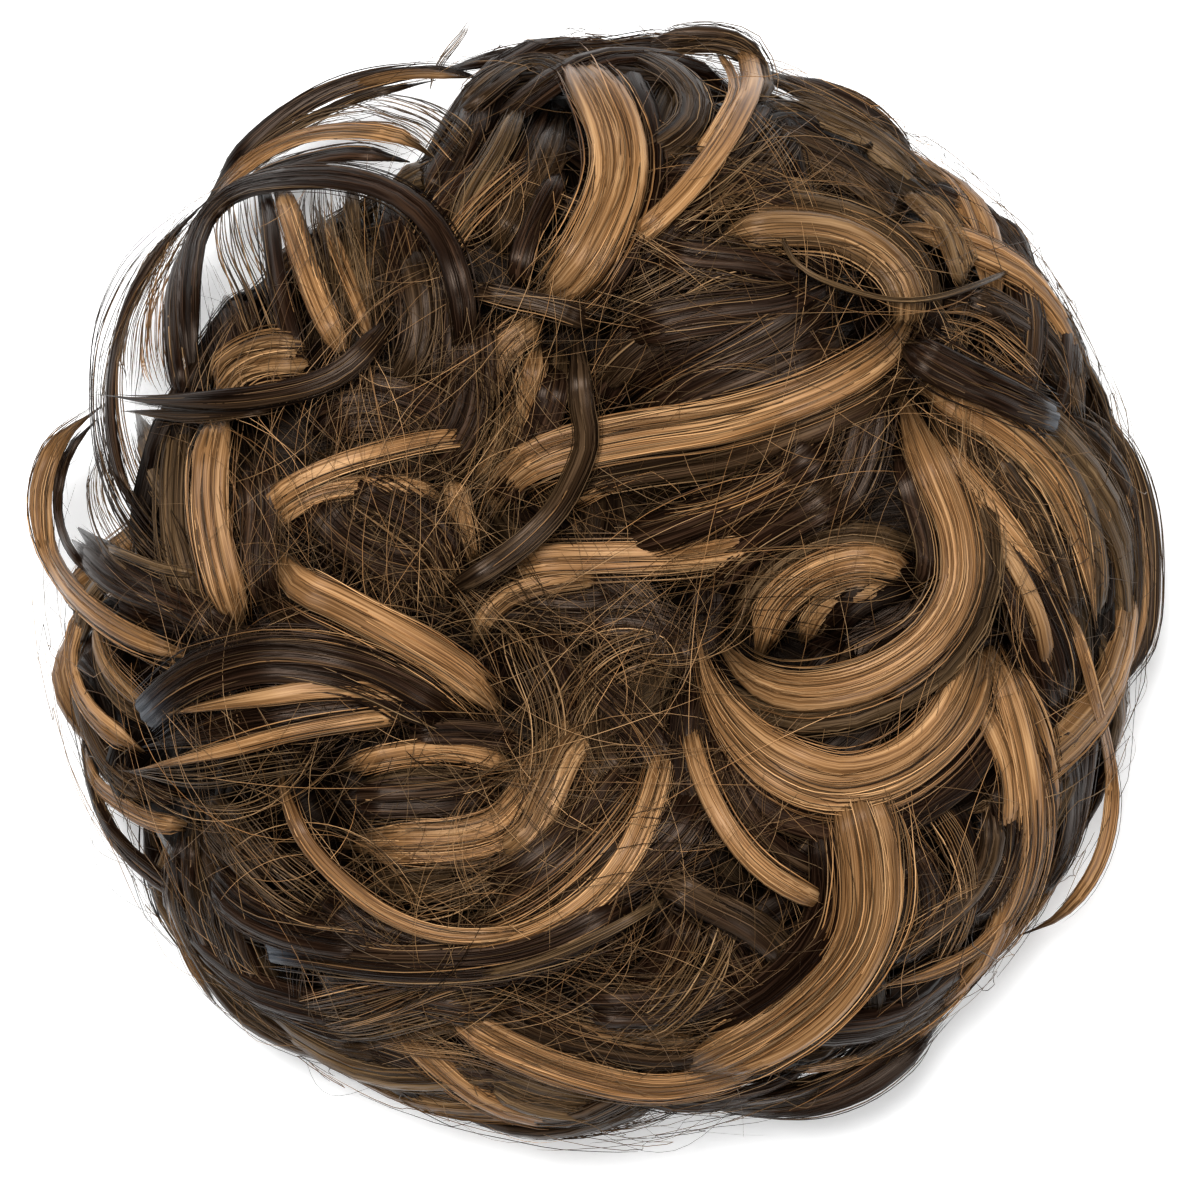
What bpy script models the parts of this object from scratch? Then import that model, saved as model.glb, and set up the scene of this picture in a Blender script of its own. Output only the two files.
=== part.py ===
"""Top knot hairpiece: a ring of curled synthetic hair sewn round an elastic band.

Metres, +Z up. The piece lies face up on its underside, as it would on a table. The origin is the middle
of the outline, on the surface that it lies on. Bearings run anticlockwise from +X, seen from above.
"""

import math
from collections import namedtuple

import bmesh
import bpy
import numpy as np

# Driving sizes
BUN_RADIUS = 0.0750  # from the middle to the outline
BUN_HEIGHT = 0.0600  # from the table to the crown of the hair
LOCK_THICKNESS = 0.0100  # of a full lock, flat against the hair below it
TANGLE_DEPTH = 0.0034  # how far the tangled backing lies below the surface of the locks
TUCK_DEPTH = 0.0034  # how far a lock's two ends go down into the backing
SWIRL_DEPTH = 0.0018  # of the ridges that wind round the backing, to each side of its surface
ELASTIC_INNER_RADIUS = 0.0200
ELASTIC_WIDTH = 0.0050
ELASTIC_HEIGHT = 0.0040
ELASTIC_CHAMFER = 0.0009
HOLLOW_LEDGE = 0.0012  # how far the hair laps over the top of the elastic
HOLLOW_HEIGHT = 0.0270  # of the space for the wearer's own bun
SEAM_GAP = 0.0003  # between pieces that touch

# Proportions
STEEPEST_TUCK = 0.12  # share of a short lock's length that its ends may go down by
TUCK_CURVE = 1.5  # higher keeps more of a lock's length up on the surface
LOCK_TIP = 0.34  # a lock's fullness at its two ends, as a share of its fullness in the middle
LOCK_SWELL = 0.6  # lower fills a lock out nearer to its ends
UNDERSIDE_REACH = 0.74  # of the flat underside, as a share of BUN_RADIUS
SWIRL_RIDGES = 10
SWIRL_TURN = 7.0  # radians that a ridge winds on, from the crown to the underside
SKIRT_ROUNDS = 4  # times that the kinds of skirt lock follow each other round the side

# The photo shows the table between the outer locks at the top left, so the backing is scooped in there, and
# the skirt locks of these numbers are left out.
SCOOP_BEARINGS = (110.0, 176.0)
SCOOP_EDGE = 9.0  # degrees over which the scoop grows to its full depth at each end
SCOOP_REACH = 0.78  # of the backing in the scoop, as a share of BUN_RADIUS
SCOOPED_SKIRT_LOCKS = (5, 6)

# Fineness of the faceted solids
TANGLE_STEPS = 4 * SWIRL_RIDGES
ELASTIC_STEPS = 28
LOCK_SIDES = 6
LOCK_SECTIONS = 8
CURVE_STEPS = 24  # steps between two points of a route, from which its sections are read
SLOPE_STEP = 0.02  # reach over which the slope of the surface is measured
SMOOTH_ANGLE = math.radians(50)

BROWN_HAIR = (0.060, 0.036, 0.025)
CARAMEL_HAIR = (0.440, 0.220, 0.085)
BLACK_ELASTIC = (0.012, 0.011, 0.011)
HAIR_ROUGHNESS = 0.42
ELASTIC_ROUGHNESS = 0.75

# The surface of the hair, from the dimple in the crown, out over the side and in under the piece. Reach is
# a share of BUN_RADIUS and height a share of BUN_HEIGHT.
Ring = namedtuple("Ring", "reach height")
HAIR_SURFACE = (
    Ring(0.00, 0.80),
    Ring(0.14, 0.82),
    Ring(0.30, 0.91),
    Ring(0.46, 0.97),
    Ring(0.60, 0.96),
    Ring(0.74, 0.88),
    Ring(0.86, 0.73),
    Ring(0.94, 0.55),
    Ring(0.97, 0.36),
    Ring(0.93, 0.17),
    Ring(0.84, 0.05),
)
UPPER_SURFACE = HAIR_SURFACE[:9]

# The hollow's section above its mouth, in shares of its own radius and of HOLLOW_HEIGHT
HOLLOW_SECTION = (Ring(1.00, 0.72), Ring(0.72, 0.94), Ring(0.00, 1.00))

# Each lock's route over the crown is (bearing in degrees, reach) at each point. Width is a share of
# BUN_RADIUS, and lift raises the lock by a share of LOCK_THICKNESS, so that it crosses over what is below.
Lock = namedtuple("Lock", "name width lift route")
CARAMEL_LOCKS = (
    Lock("curl_long", 0.100, 0.45, ((36, 0.68), (12, 0.65), (355, 0.64), (339, 0.47), (341, 0.26))),
    Lock("curl_outer", 0.130, 0.25, ((337, 0.20), (312, 0.33), (321, 0.56), (338, 0.70), (351, 0.76))),
    Lock("curl_heart", 0.060, 0.10, ((350, 0.33), (3, 0.40), (359, 0.51))),
    Lock("right_cascade", 0.080, 0.20, ((33, 0.74), (21, 0.82), (7, 0.89))),
    Lock("crown_sweep", 0.095, 0.45, ((46, 0.72), (46, 0.45), (83, 0.24), (122, 0.25))),
    Lock("crown_turn", 0.065, 0.20, ((80, 0.60), (62, 0.73), (48, 0.79))),
    Lock("middle_sweep", 0.085, 0.15, ((172, 0.18), (80, 0.06), (16, 0.27))),
    Lock("left_diagonal", 0.090, 0.45, ((177, 0.56), (190, 0.35), (236, 0.26))),
    Lock("left_column", 0.085, 0.25, ((150, 0.74), (164, 0.72), (182, 0.67))),
    Lock("left_arc", 0.060, 0.20, ((168, 0.58), (151, 0.46), (126, 0.33))),
    Lock("top_streak", 0.065, 0.10, ((127, 0.90), (133, 0.72), (138, 0.56))),
    Lock("top_fall", 0.100, 0.45, ((93, 0.92), (87, 0.75), (102, 0.48))),
    Lock("top_arc", 0.060, 0.25, ((82, 0.93), (72, 0.90), (74, 0.72))),
    Lock("left_streak", 0.055, 0.30, ((197, 0.84), (199, 0.55), (214, 0.37))),
    Lock("lower_band", 0.085, 0.10, ((226, 0.62), (240, 0.52), (263, 0.36))),
    Lock("lower_fall", 0.150, 0.35, ((321, 0.66), (312, 0.78), (297, 0.85), (283, 0.87))),
    Lock("lower_sweep", 0.095, 0.15, ((276, 0.86), (264, 0.85), (252, 0.75))),
    Lock("lower_right_arc", 0.070, 0.20, ((351, 0.86), (338, 0.90), (325, 0.91))),
    Lock("middle_fall", 0.065, 0.25, ((303, 0.30), (278, 0.48), (258, 0.66))),
    Lock("left_loop", 0.065, 0.30, ((156, 0.86), (164, 0.95), (175, 0.93), (187, 0.78))),
)
BROWN_LOCKS = (
    Lock("top_left_band", 0.080, 0.28, ((159, 0.94), (149, 0.66), (126, 0.56))),
    Lock("top_left_arch", 0.075, 0.38, ((157, 0.75), (145, 0.88), (133, 0.92), (120, 0.83), (116, 0.56))),
    Lock("top_left_low", 0.080, 0.23, ((128, 0.72), (117, 0.56), (128, 0.38))),
    Lock("hook", 0.075, 0.38, ((94, 0.47), (93, 0.26), (117, 0.15), (177, 0.22), (186, 0.34))),
    Lock("top_left_heart", 0.110, 0.08, ((148, 0.52), (124, 0.70), (106, 0.70), (100, 0.52))),
    Lock("crown_band", 0.140, 0.13, ((96, 0.34), (66, 0.50), (52, 0.72))),
    Lock("middle_band", 0.130, 0.08, ((60, 0.14), (24, 0.38), (27, 0.60))),
    Lock("left_band", 0.130, 0.23, ((195, 0.84), (188, 0.52), (222, 0.24))),
    Lock("left_band_low", 0.110, 0.13, ((206, 0.88), (209, 0.60), (222, 0.44))),
    Lock("low_hollow", 0.150, 0.13, ((214, 0.68), (243, 0.66), (270, 0.60), (288, 0.36))),
    Lock("low_band", 0.120, 0.08, ((227, 0.86), (248, 0.80), (290, 0.56))),
    Lock("low_middle", 0.120, 0.08, ((262, 0.30), (292, 0.26), (330, 0.24))),
    Lock("low_right_heart", 0.120, 0.08, ((292, 0.44), (308, 0.62), (330, 0.60), (348, 0.50))),
    Lock("right_flick", 0.090, 0.23, ((38, 0.70), (27, 0.80), (20, 0.92))),
    Lock("right_side", 0.120, 0.08, ((14, 0.74), (357, 0.80), (341, 0.80))),
    Lock("top_arch", 0.110, 0.18, ((108, 0.55), (94, 0.68), (82, 0.92))),
    Lock("rim_top", 0.170, -0.35, ((94, 0.88), (80, 0.94), (66, 0.88))),
    Lock("rim_right", 0.170, -0.35, ((24, 0.88), (8, 0.94), (352, 0.88))),
    Lock("rim_low_right", 0.170, -0.35, ((334, 0.88), (319, 0.94), (303, 0.88))),
    Lock("rim_top_left", 0.140, -0.35, ((132, 0.92), (115, 0.94), (99, 0.88))),
    Lock("rim_left", 0.110, -0.30, ((150, 0.80), (158, 0.92), (170, 0.95), (188, 0.88))),
)

# The locks that curl up the side come in these kinds, in turn round the piece. Start and top are shares of
# BUN_HEIGHT, lean is in degrees round the piece, bulge is a reach and width is a share of BUN_RADIUS.
SkirtLock = namedtuple("SkirtLock", "start top lean bulge width")
SKIRT_LOCKS = (
    SkirtLock(0.10, 0.64, 30, 0.95, 0.21),
    SkirtLock(0.12, 0.52, 19, 0.94, 0.20),
    SkirtLock(0.11, 0.71, 36, 0.92, 0.19),
    SkirtLock(0.13, 0.57, 24, 0.95, 0.18),
)

# A skirt lock's route. Turn is a share of its lean, inset is a reach in from its bulge, and rise is a share
# of the way from its start to its top.
SkirtPoint = namedtuple("SkirtPoint", "turn inset rise")
SKIRT_ROUTE = (
    SkirtPoint(0.00, 0.22, 0.00),
    SkirtPoint(0.25, 0.05, 0.12),
    SkirtPoint(0.65, 0.00, 0.50),
    SkirtPoint(1.00, 0.07, 1.00),
)

# Where a lock runs: the middles of its sections, and its direction at each
Route = namedtuple("Route", "centres tangents")


def clear_scene():
    for old in list(bpy.data.objects):
        bpy.data.objects.remove(old)


def finish_material(name, colour, roughness):
    material = bpy.data.materials.new(name)
    material.use_nodes = True
    shader = material.node_tree.nodes["Principled BSDF"]
    shader.inputs["Base Color"].default_value = (*colour, 1.0)
    shader.inputs["Roughness"].default_value = roughness
    shader.inputs["Metallic"].default_value = 0.0
    return material


def new_object(name, mesh, material):
    mesh.materials.append(material)
    obj = bpy.data.objects.new(name, mesh)
    bpy.context.scene.collection.objects.link(obj)
    return obj


def closed_mesh(name, points, faces):
    """A mesh from points and faces, with its faces turned outwards."""
    mesh = bpy.data.meshes.new(name)
    mesh.from_pydata([tuple(p) for p in points], [], faces)
    work = bmesh.new()
    work.from_mesh(mesh)
    bmesh.ops.recalc_face_normals(work, faces=work.faces)
    work.to_mesh(mesh)
    work.free()
    mesh.shade_smooth()
    mesh.set_sharp_from_angle(angle=SMOOTH_ANGLE)
    return mesh


def no_relief(row, radius, angle):
    return 1.0


def spun_mesh(name, profile, steps, relief=no_relief):
    """A profile of (radius, height) turned about Z. A profile that starts and ends on the axis is a solid
    body, and any other is a closed ring. Relief scales the points, by row, radius and angle."""
    solid = profile[0][0] == 0 and profile[-1][0] == 0
    rows = profile[1:-1] if solid else profile
    points = []
    for row, (radius, height) in enumerate(rows):
        for step in range(steps):
            angle = 2 * math.pi * step / steps
            scale = relief(row, radius, angle)
            x, y = radius * math.cos(angle), radius * math.sin(angle)
            points.append((x * scale, y * scale, height * scale))
    faces = []
    for row in range(len(rows) - 1 if solid else len(rows)):
        below = (row + 1) % len(rows)
        for step in range(steps):
            after = (step + 1) % steps
            faces.append(
                (row * steps + step, row * steps + after, below * steps + after, below * steps + step)
            )
    if solid:
        for height, row in ((profile[0][1], 0), (profile[-1][1], len(rows) - 1)):
            points.append((0.0, 0.0, height))
            for step in range(steps):
                faces.append((row * steps + step, row * steps + (step + 1) % steps, len(points) - 1))
    return closed_mesh(name, points, faces)


def smooth_route(points, count):
    """Count places along a Catmull-Rom curve through the points, evenly spaced."""
    points = np.array(points, float)
    ends = np.vstack([2 * points[0] - points[1], points, 2 * points[-1] - points[-2]])
    fine = []
    for a, b, c, d in zip(ends, ends[1:], ends[2:], ends[3:]):
        for t in np.linspace(0, 1, CURVE_STEPS, endpoint=False):
            square, cube = 2 * a - 5 * b + 4 * c - d, 3 * b - a - 3 * c + d
            fine.append(0.5 * (2 * b + (c - a) * t + square * t**2 + cube * t**3))
    fine = np.array([*fine, points[-1]])
    along = np.concatenate([[0], np.cumsum(np.linalg.norm(np.diff(fine, axis=0), axis=1))])
    even = np.linspace(0, along[-1], count)
    return np.stack([np.interp(even, along, fine[:, axis]) for axis in range(3)], axis=1)


def crown_height(reach):
    """Height of the hair's upper surface at a reach, in metres."""
    share = np.interp(
        reach, [ring.reach for ring in UPPER_SURFACE], [ring.height for ring in UPPER_SURFACE]
    )
    return share * BUN_HEIGHT


def crown_normal(place):
    """Unit normal of the hair's upper surface near a place."""
    distance = max(math.hypot(place[0], place[1]), 1e-6)
    inner = max(distance / BUN_RADIUS - SLOPE_STEP, 0.0)
    outer = distance / BUN_RADIUS + SLOPE_STEP
    slope = (crown_height(outer) - crown_height(inner)) / ((outer - inner) * BUN_RADIUS)
    normal = np.array([-slope * place[0] / distance, -slope * place[1] / distance, 1.0])
    return normal / np.linalg.norm(normal)


def polar(bearing, reach, height):
    angle = math.radians(bearing)
    return (reach * BUN_RADIUS * math.cos(angle), reach * BUN_RADIUS * math.sin(angle), height)


def directions(centres):
    tangents = np.gradient(centres, axis=0)
    return tangents / np.linalg.norm(tangents, axis=1)[:, None]


def crown_route(lock):
    """Centreline of a lock that lies on the crown, its two ends tucked into the backing."""
    flat = smooth_route([polar(bearing, reach, 0.0) for bearing, reach in lock.route], LOCK_SECTIONS)
    surface = np.array([(x, y, crown_height(math.hypot(x, y) / BUN_RADIUS)) for x, y, _ in flat])
    length = np.linalg.norm(np.diff(surface, axis=0), axis=1).sum()
    deepest = min(TUCK_DEPTH, length * STEEPEST_TUCK)
    centres = []
    for place, t in zip(surface, np.linspace(0, 1, LOCK_SECTIONS)):
        tucked = deepest * (1 - math.sin(math.pi * t)) ** TUCK_CURVE
        above = (lock.lift - 0.5) * LOCK_THICKNESS - tucked
        centres.append(place + crown_normal(place) * above)
    return Route(np.array(centres), directions(surface))


def lock_mesh(name, route, width, swell=0.0):
    """A flattened lock lofted along its route, thin at both ends, and larger all round by the swell."""
    last = len(route.centres) - 1
    rings = []
    for section, (centre, tangent) in enumerate(zip(*route)):
        fullness = LOCK_TIP + (1 - LOCK_TIP) * math.sin(math.pi * section / last) ** LOCK_SWELL
        across = np.cross(tangent, crown_normal(centre))
        across /= np.linalg.norm(across)
        normal = np.cross(across, tangent)
        ring = []
        for side in range(LOCK_SIDES):
            angle = 2 * math.pi * (side + 0.5) / LOCK_SIDES
            ring.append(
                centre
                + across * math.cos(angle) * (width / 2 * fullness + swell)
                + normal * math.sin(angle) * (LOCK_THICKNESS / 2 * fullness + swell)
            )
        rings.append(ring)
    rings = np.array(rings)
    for end, inner in ((0, 1), (last, last - 1)):
        spacing = np.linalg.norm(route.centres[end] - route.centres[inner])
        rings[end] += (rings[end] - rings[inner]) * swell / spacing
    faces = []
    for section in range(last):
        for side in range(LOCK_SIDES):
            a, b = section * LOCK_SIDES + side, section * LOCK_SIDES + (side + 1) % LOCK_SIDES
            faces.append((a, b, b + LOCK_SIDES))
            faces.append((a, b + LOCK_SIDES, a + LOCK_SIDES))
    faces.append(tuple(range(LOCK_SIDES)))
    faces.append(tuple(range(last * LOCK_SIDES, (last + 1) * LOCK_SIDES)))
    return closed_mesh(name, rings.reshape(-1, 3), faces)


def tangle_profile():
    """The backing's section: the hair's surface moved in by TANGLE_DEPTH, then the flat underside, the mouth
    that holds the elastic, and the hollow."""
    surface = np.array([(ring.reach * BUN_RADIUS, ring.height * BUN_HEIGHT) for ring in HAIR_SURFACE])
    along = np.gradient(surface, axis=0)
    inward = np.stack([along[:, 1], -along[:, 0]], axis=1)
    inward /= np.linalg.norm(inward, axis=1)[:, None]
    inset = surface + inward * TANGLE_DEPTH
    inset[0, 0] = 0.0
    mouth_radius = ELASTIC_INNER_RADIUS + ELASTIC_WIDTH + SEAM_GAP
    hollow_radius = mouth_radius - HOLLOW_LEDGE
    ledge = ELASTIC_HEIGHT + SEAM_GAP
    return [
        *[(float(radius), float(max(height, 0.0))) for radius, height in inset],
        (UNDERSIDE_REACH * BUN_RADIUS, 0.0),
        (mouth_radius, 0.0),
        (mouth_radius, ledge),
        (hollow_radius, ledge),
        *[(ring.reach * hollow_radius, ring.height * HOLLOW_HEIGHT) for ring in HOLLOW_SECTION],
    ]


def swirl(row, angle):
    """Ridges that wind round the outside of the backing, and die away at the crown and the underside."""
    share = min(row / (len(HAIR_SURFACE) - 2), 1.0)
    ridge = math.sin(SWIRL_RIDGES * angle + SWIRL_TURN * share)
    return 1.0 + SWIRL_DEPTH / BUN_RADIUS * math.sin(math.pi * share) * ridge


def scoop(radius, angle):
    """The scoop's scale of a point of the backing, 1 outside the scoop and inside its reach."""
    first, last = SCOOP_BEARINGS
    bearing = math.degrees(angle)
    inside = min((bearing - first) / SCOOP_EDGE, (last - bearing) / SCOOP_EDGE, 1.0)
    if inside <= 0 or radius <= SCOOP_REACH * BUN_RADIUS:
        return 1.0
    return 1.0 + inside * (SCOOP_REACH * BUN_RADIUS / radius - 1.0)


def backing_relief(row, radius, angle):
    return swirl(row, angle) * scoop(radius, angle)


def elastic_profile():
    inner, outer = ELASTIC_INNER_RADIUS, ELASTIC_INNER_RADIUS + ELASTIC_WIDTH
    edge = ELASTIC_CHAMFER
    return [
        (inner + edge, 0.0),
        (outer - edge, 0.0),
        (outer, edge),
        (outer, ELASTIC_HEIGHT - edge),
        (outer - edge, ELASTIC_HEIGHT),
        (inner + edge, ELASTIC_HEIGHT),
        (inner, ELASTIC_HEIGHT - edge),
        (inner, edge),
    ]


def skirt_route(kind, bearing):
    """Centreline of a lock that curls out from under the piece and up its side."""
    points = []
    for point in SKIRT_ROUTE:
        height = (kind.start + (kind.top - kind.start) * point.rise) * BUN_HEIGHT
        points.append(polar(bearing + kind.lean * point.turn, kind.bulge - point.inset, height))
    centres = smooth_route(points, LOCK_SECTIONS)
    return Route(centres, directions(centres))


def helper(obj, collection):
    """Keeps an object out of the model, as a shape that a Boolean reads."""
    obj.hide_render = True
    obj.display_type = "WIRE"
    bpy.context.scene.collection.objects.unlink(obj)
    collection.objects.link(obj)


def keep_largest_body(mesh):
    """Deletes the crumbs that the Booleans leave, which may touch the body at a corner or along an edge."""
    work = bmesh.new()
    work.from_mesh(mesh)
    bmesh.ops.triangulate(work, faces=work.faces)
    unseen = set(work.faces)
    bodies = []
    while unseen:
        waiting = [unseen.pop()]
        body = list(waiting)
        while waiting:
            for edge in waiting.pop().edges:
                for face in edge.link_faces if len(edge.link_faces) == 2 else ():
                    if face in unseen:
                        unseen.remove(face)
                        body.append(face)
                        waiting.append(face)
        bodies.append(body)
    bodies.sort(key=len)
    for body in bodies[:-1]:
        bmesh.ops.delete(work, geom=body, context="FACES")
    work.to_mesh(mesh)
    work.free()


def apply_modifiers(obj):
    graph = bpy.context.evaluated_depsgraph_get()
    mesh = bpy.data.meshes.new_from_object(obj.evaluated_get(graph))
    obj.modifiers.clear()
    obj.data = mesh
    keep_largest_body(obj.data)


def add_boolean(obj, collection, operation):
    modifier = obj.modifiers.new(operation.lower(), "BOOLEAN")
    modifier.operation = operation
    modifier.operand_type = "COLLECTION"
    modifier.collection = collection
    modifier.solver = "EXACT"


def boolean_collection(name):
    collection = bpy.data.collections.new(name)
    collection.hide_render = True
    bpy.context.scene.collection.children.link(collection)
    return collection


def add_elastic(material):
    new_object("elastic_band", spun_mesh("elastic_band", elastic_profile(), ELASTIC_STEPS), material)


def add_brown_hair(material):
    """The tangled backing, with every brown lock fused to it."""
    backing = new_object(
        "brown_hair", spun_mesh("brown_hair", tangle_profile(), TANGLE_STEPS, backing_relief), material
    )
    fused = boolean_collection("fused_locks")
    for lock in BROWN_LOCKS:
        mesh = lock_mesh(lock.name, crown_route(lock), lock.width * BUN_RADIUS)
        helper(new_object("brown_" + lock.name, mesh, material), fused)
    number_of_locks = SKIRT_ROUNDS * len(SKIRT_LOCKS)
    for number in range(number_of_locks):
        if number in SCOOPED_SKIRT_LOCKS:
            continue
        kind = SKIRT_LOCKS[number % len(SKIRT_LOCKS)]
        route = skirt_route(kind, 360 * number / number_of_locks)
        mesh = lock_mesh(f"skirt_{number}", route, kind.width * BUN_RADIUS)
        helper(new_object(f"brown_skirt_{number}", mesh, material), fused)
    add_boolean(backing, fused, "UNION")
    return backing


def add_caramel_locks(backing, material):
    """The caramel locks, each in a groove that it leaves in the backing."""
    grooves = boolean_collection("grooves")
    for lock in CARAMEL_LOCKS:
        route = crown_route(lock)
        width = lock.width * BUN_RADIUS
        new_object("caramel_" + lock.name, lock_mesh(lock.name, route, width), material)
        groove = lock_mesh(lock.name + "_groove", route, width, SEAM_GAP)
        helper(new_object("groove_" + lock.name, groove, material), grooves)
    add_boolean(backing, grooves, "DIFFERENCE")


def build_hairpiece():
    clear_scene()
    add_elastic(finish_material("black_elastic", BLACK_ELASTIC, ELASTIC_ROUGHNESS))
    backing = add_brown_hair(finish_material("brown_hair", BROWN_HAIR, HAIR_ROUGHNESS))
    add_caramel_locks(backing, finish_material("caramel_hair", CARAMEL_HAIR, HAIR_ROUGHNESS))
    apply_modifiers(backing)


build_hairpiece()
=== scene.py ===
"""Looks of the top knot hairpiece: its locks, strands and loose hairs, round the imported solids.

Metres, +Z up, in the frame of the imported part. A lock's route is given in pixels of the reference photo,
which looks straight down on the piece, and is laid on the surface of the hair at that place. A lock is a few
flat closed bundles, with separate strands over them. All the random numbers are seeded.
"""

import math
from collections import namedtuple

import bpy
import numpy as np
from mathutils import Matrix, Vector


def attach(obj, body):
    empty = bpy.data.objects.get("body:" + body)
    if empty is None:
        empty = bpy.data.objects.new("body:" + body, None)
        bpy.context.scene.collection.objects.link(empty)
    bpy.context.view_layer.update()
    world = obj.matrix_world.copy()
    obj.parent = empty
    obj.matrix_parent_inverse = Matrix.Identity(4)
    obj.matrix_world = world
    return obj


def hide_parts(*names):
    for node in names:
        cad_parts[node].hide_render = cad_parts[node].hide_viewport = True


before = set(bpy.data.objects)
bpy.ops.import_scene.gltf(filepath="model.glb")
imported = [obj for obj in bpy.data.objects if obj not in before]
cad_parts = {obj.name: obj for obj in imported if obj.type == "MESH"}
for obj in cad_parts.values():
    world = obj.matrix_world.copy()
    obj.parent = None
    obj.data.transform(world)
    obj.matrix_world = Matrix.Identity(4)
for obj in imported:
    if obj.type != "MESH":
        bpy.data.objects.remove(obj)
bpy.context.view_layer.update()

MM = 0.001
WIDER = 1.15  # strands stand out beyond a lock's edges, so it looks wider than it reads in the photo
BUN_RADIUS = 0.0750
BUN_HEIGHT = 0.0600
ELASTIC_RADIUS = 0.0225  # of the middle of the cord
ELASTIC_HALF_WIDTH = 0.0024
ELASTIC_HALF_HEIGHT = 0.0019
ELASTIC_MIDDLE = 0.0021  # height of the middle of the cord
THREAD_TURNS = 60
HOLLOW_RADIUS = 0.0243
HOLLOW_HEIGHT = 0.0270
FLOOR_CLEARANCE = 0.0003
GOLDEN_SHARE = 0.618034  # steps of it spread the tubes' own numbers evenly
TUCK = 0.0070  # how far a lock's end goes down below its middle

# The photo: its frame, and the camera that looks at the middle of it from straight above
PHOTO_PIXELS = 1200
PHOTO_SPAN = 0.1604  # what the photo spans at the height of its aim
AIM = Vector((0.0008, -0.0016, 0.0300))
CAMERA_HEIGHT = 1.20
SENSOR = 36.0  # mm
PIXEL = PHOTO_SPAN / PHOTO_PIXELS

# The surface of the hair, as shares of BUN_RADIUS and BUN_HEIGHT, the same as the solids'
SURFACE_REACH = (0.00, 0.14, 0.30, 0.46, 0.60, 0.74, 0.86, 0.94, 0.97)
SURFACE_HEIGHT = (0.80, 0.82, 0.91, 0.97, 0.96, 0.88, 0.73, 0.55, 0.36)
SIDE_HEIGHT = (0.0, 0.08, 0.20, 0.36, 0.55, 0.73, 0.88)  # the side's outline, from the table up
SIDE_REACH = (0.80, 0.88, 0.95, 0.98, 0.95, 0.86, 0.72)
TILT = 0.6  # share of the surface's slope that the locks lean by
STEEPEST = -3.0  # slope that they follow at most
BODY_MIDDLE = 0.40  # height that the sides' locks face away from, as a share of BUN_HEIGHT

# A lock: its depth as a share of its width, with the least and the most, and how it ends
LOCK_DEPTH = 0.42
THINNEST_LOCK = 1.2 * MM
THICKEST_LOCK = 4.6 * MM
BUNDLE_WIDTH = 2.4 * MM
BUNDLE_SIDES = 8
END_CORE = 0.15  # fullness of the bundles at an end, where the strands alone go on
CONTRAST_SHARE = 0.22  # of a lock's strands, which have another tone

# The backing below the locks
BACKING_STEPS = 180
BACKING_REACH = 0.88
BACKING_DEPTH = 5.5 * MM  # below the surface of the hair
BACKING_INSET = 6.0 * MM  # inside the side's outline
BACKING_BULGE = 1.5 * MM
BACKING_RELIEF = 2.2 * MM
BACKING_FLOOR = 2.4 * MM  # height of its underside, which leaves room for the locks there
# The backing's own dark tone, and a shade of 0.05 that is painted shade, which makes it nearly black below
# the locks
BACKING_TONE_AND_PAINTED_SHADE = (("tone", 0.0), ("shade", 0.05), ("grey", 0.0), ("own", 0.0))

# Tones, from dark brown to caramel. Some locks lie between two of them.
DARK = 0.0
BROWN = 0.14
DULL = 0.30
KHAKI = 0.50
SHADED = 0.80
CARAMEL = 1.0

# Each lock: its name, its tone, its width in pixels of the photo, the lift of its middle off the surface in
# millimetres, its two ends (t tucked down, f narrower and tucked down a little less, p pointed, c cut off and
# grey), with l after them for a lock that is only loose strands, and its route in pixels.
Lock = namedtuple("Lock", "name tone width lift ends route")


def locks(*rows):
    return [Lock(*row[:5], row[5:]) for row in rows]


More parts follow.
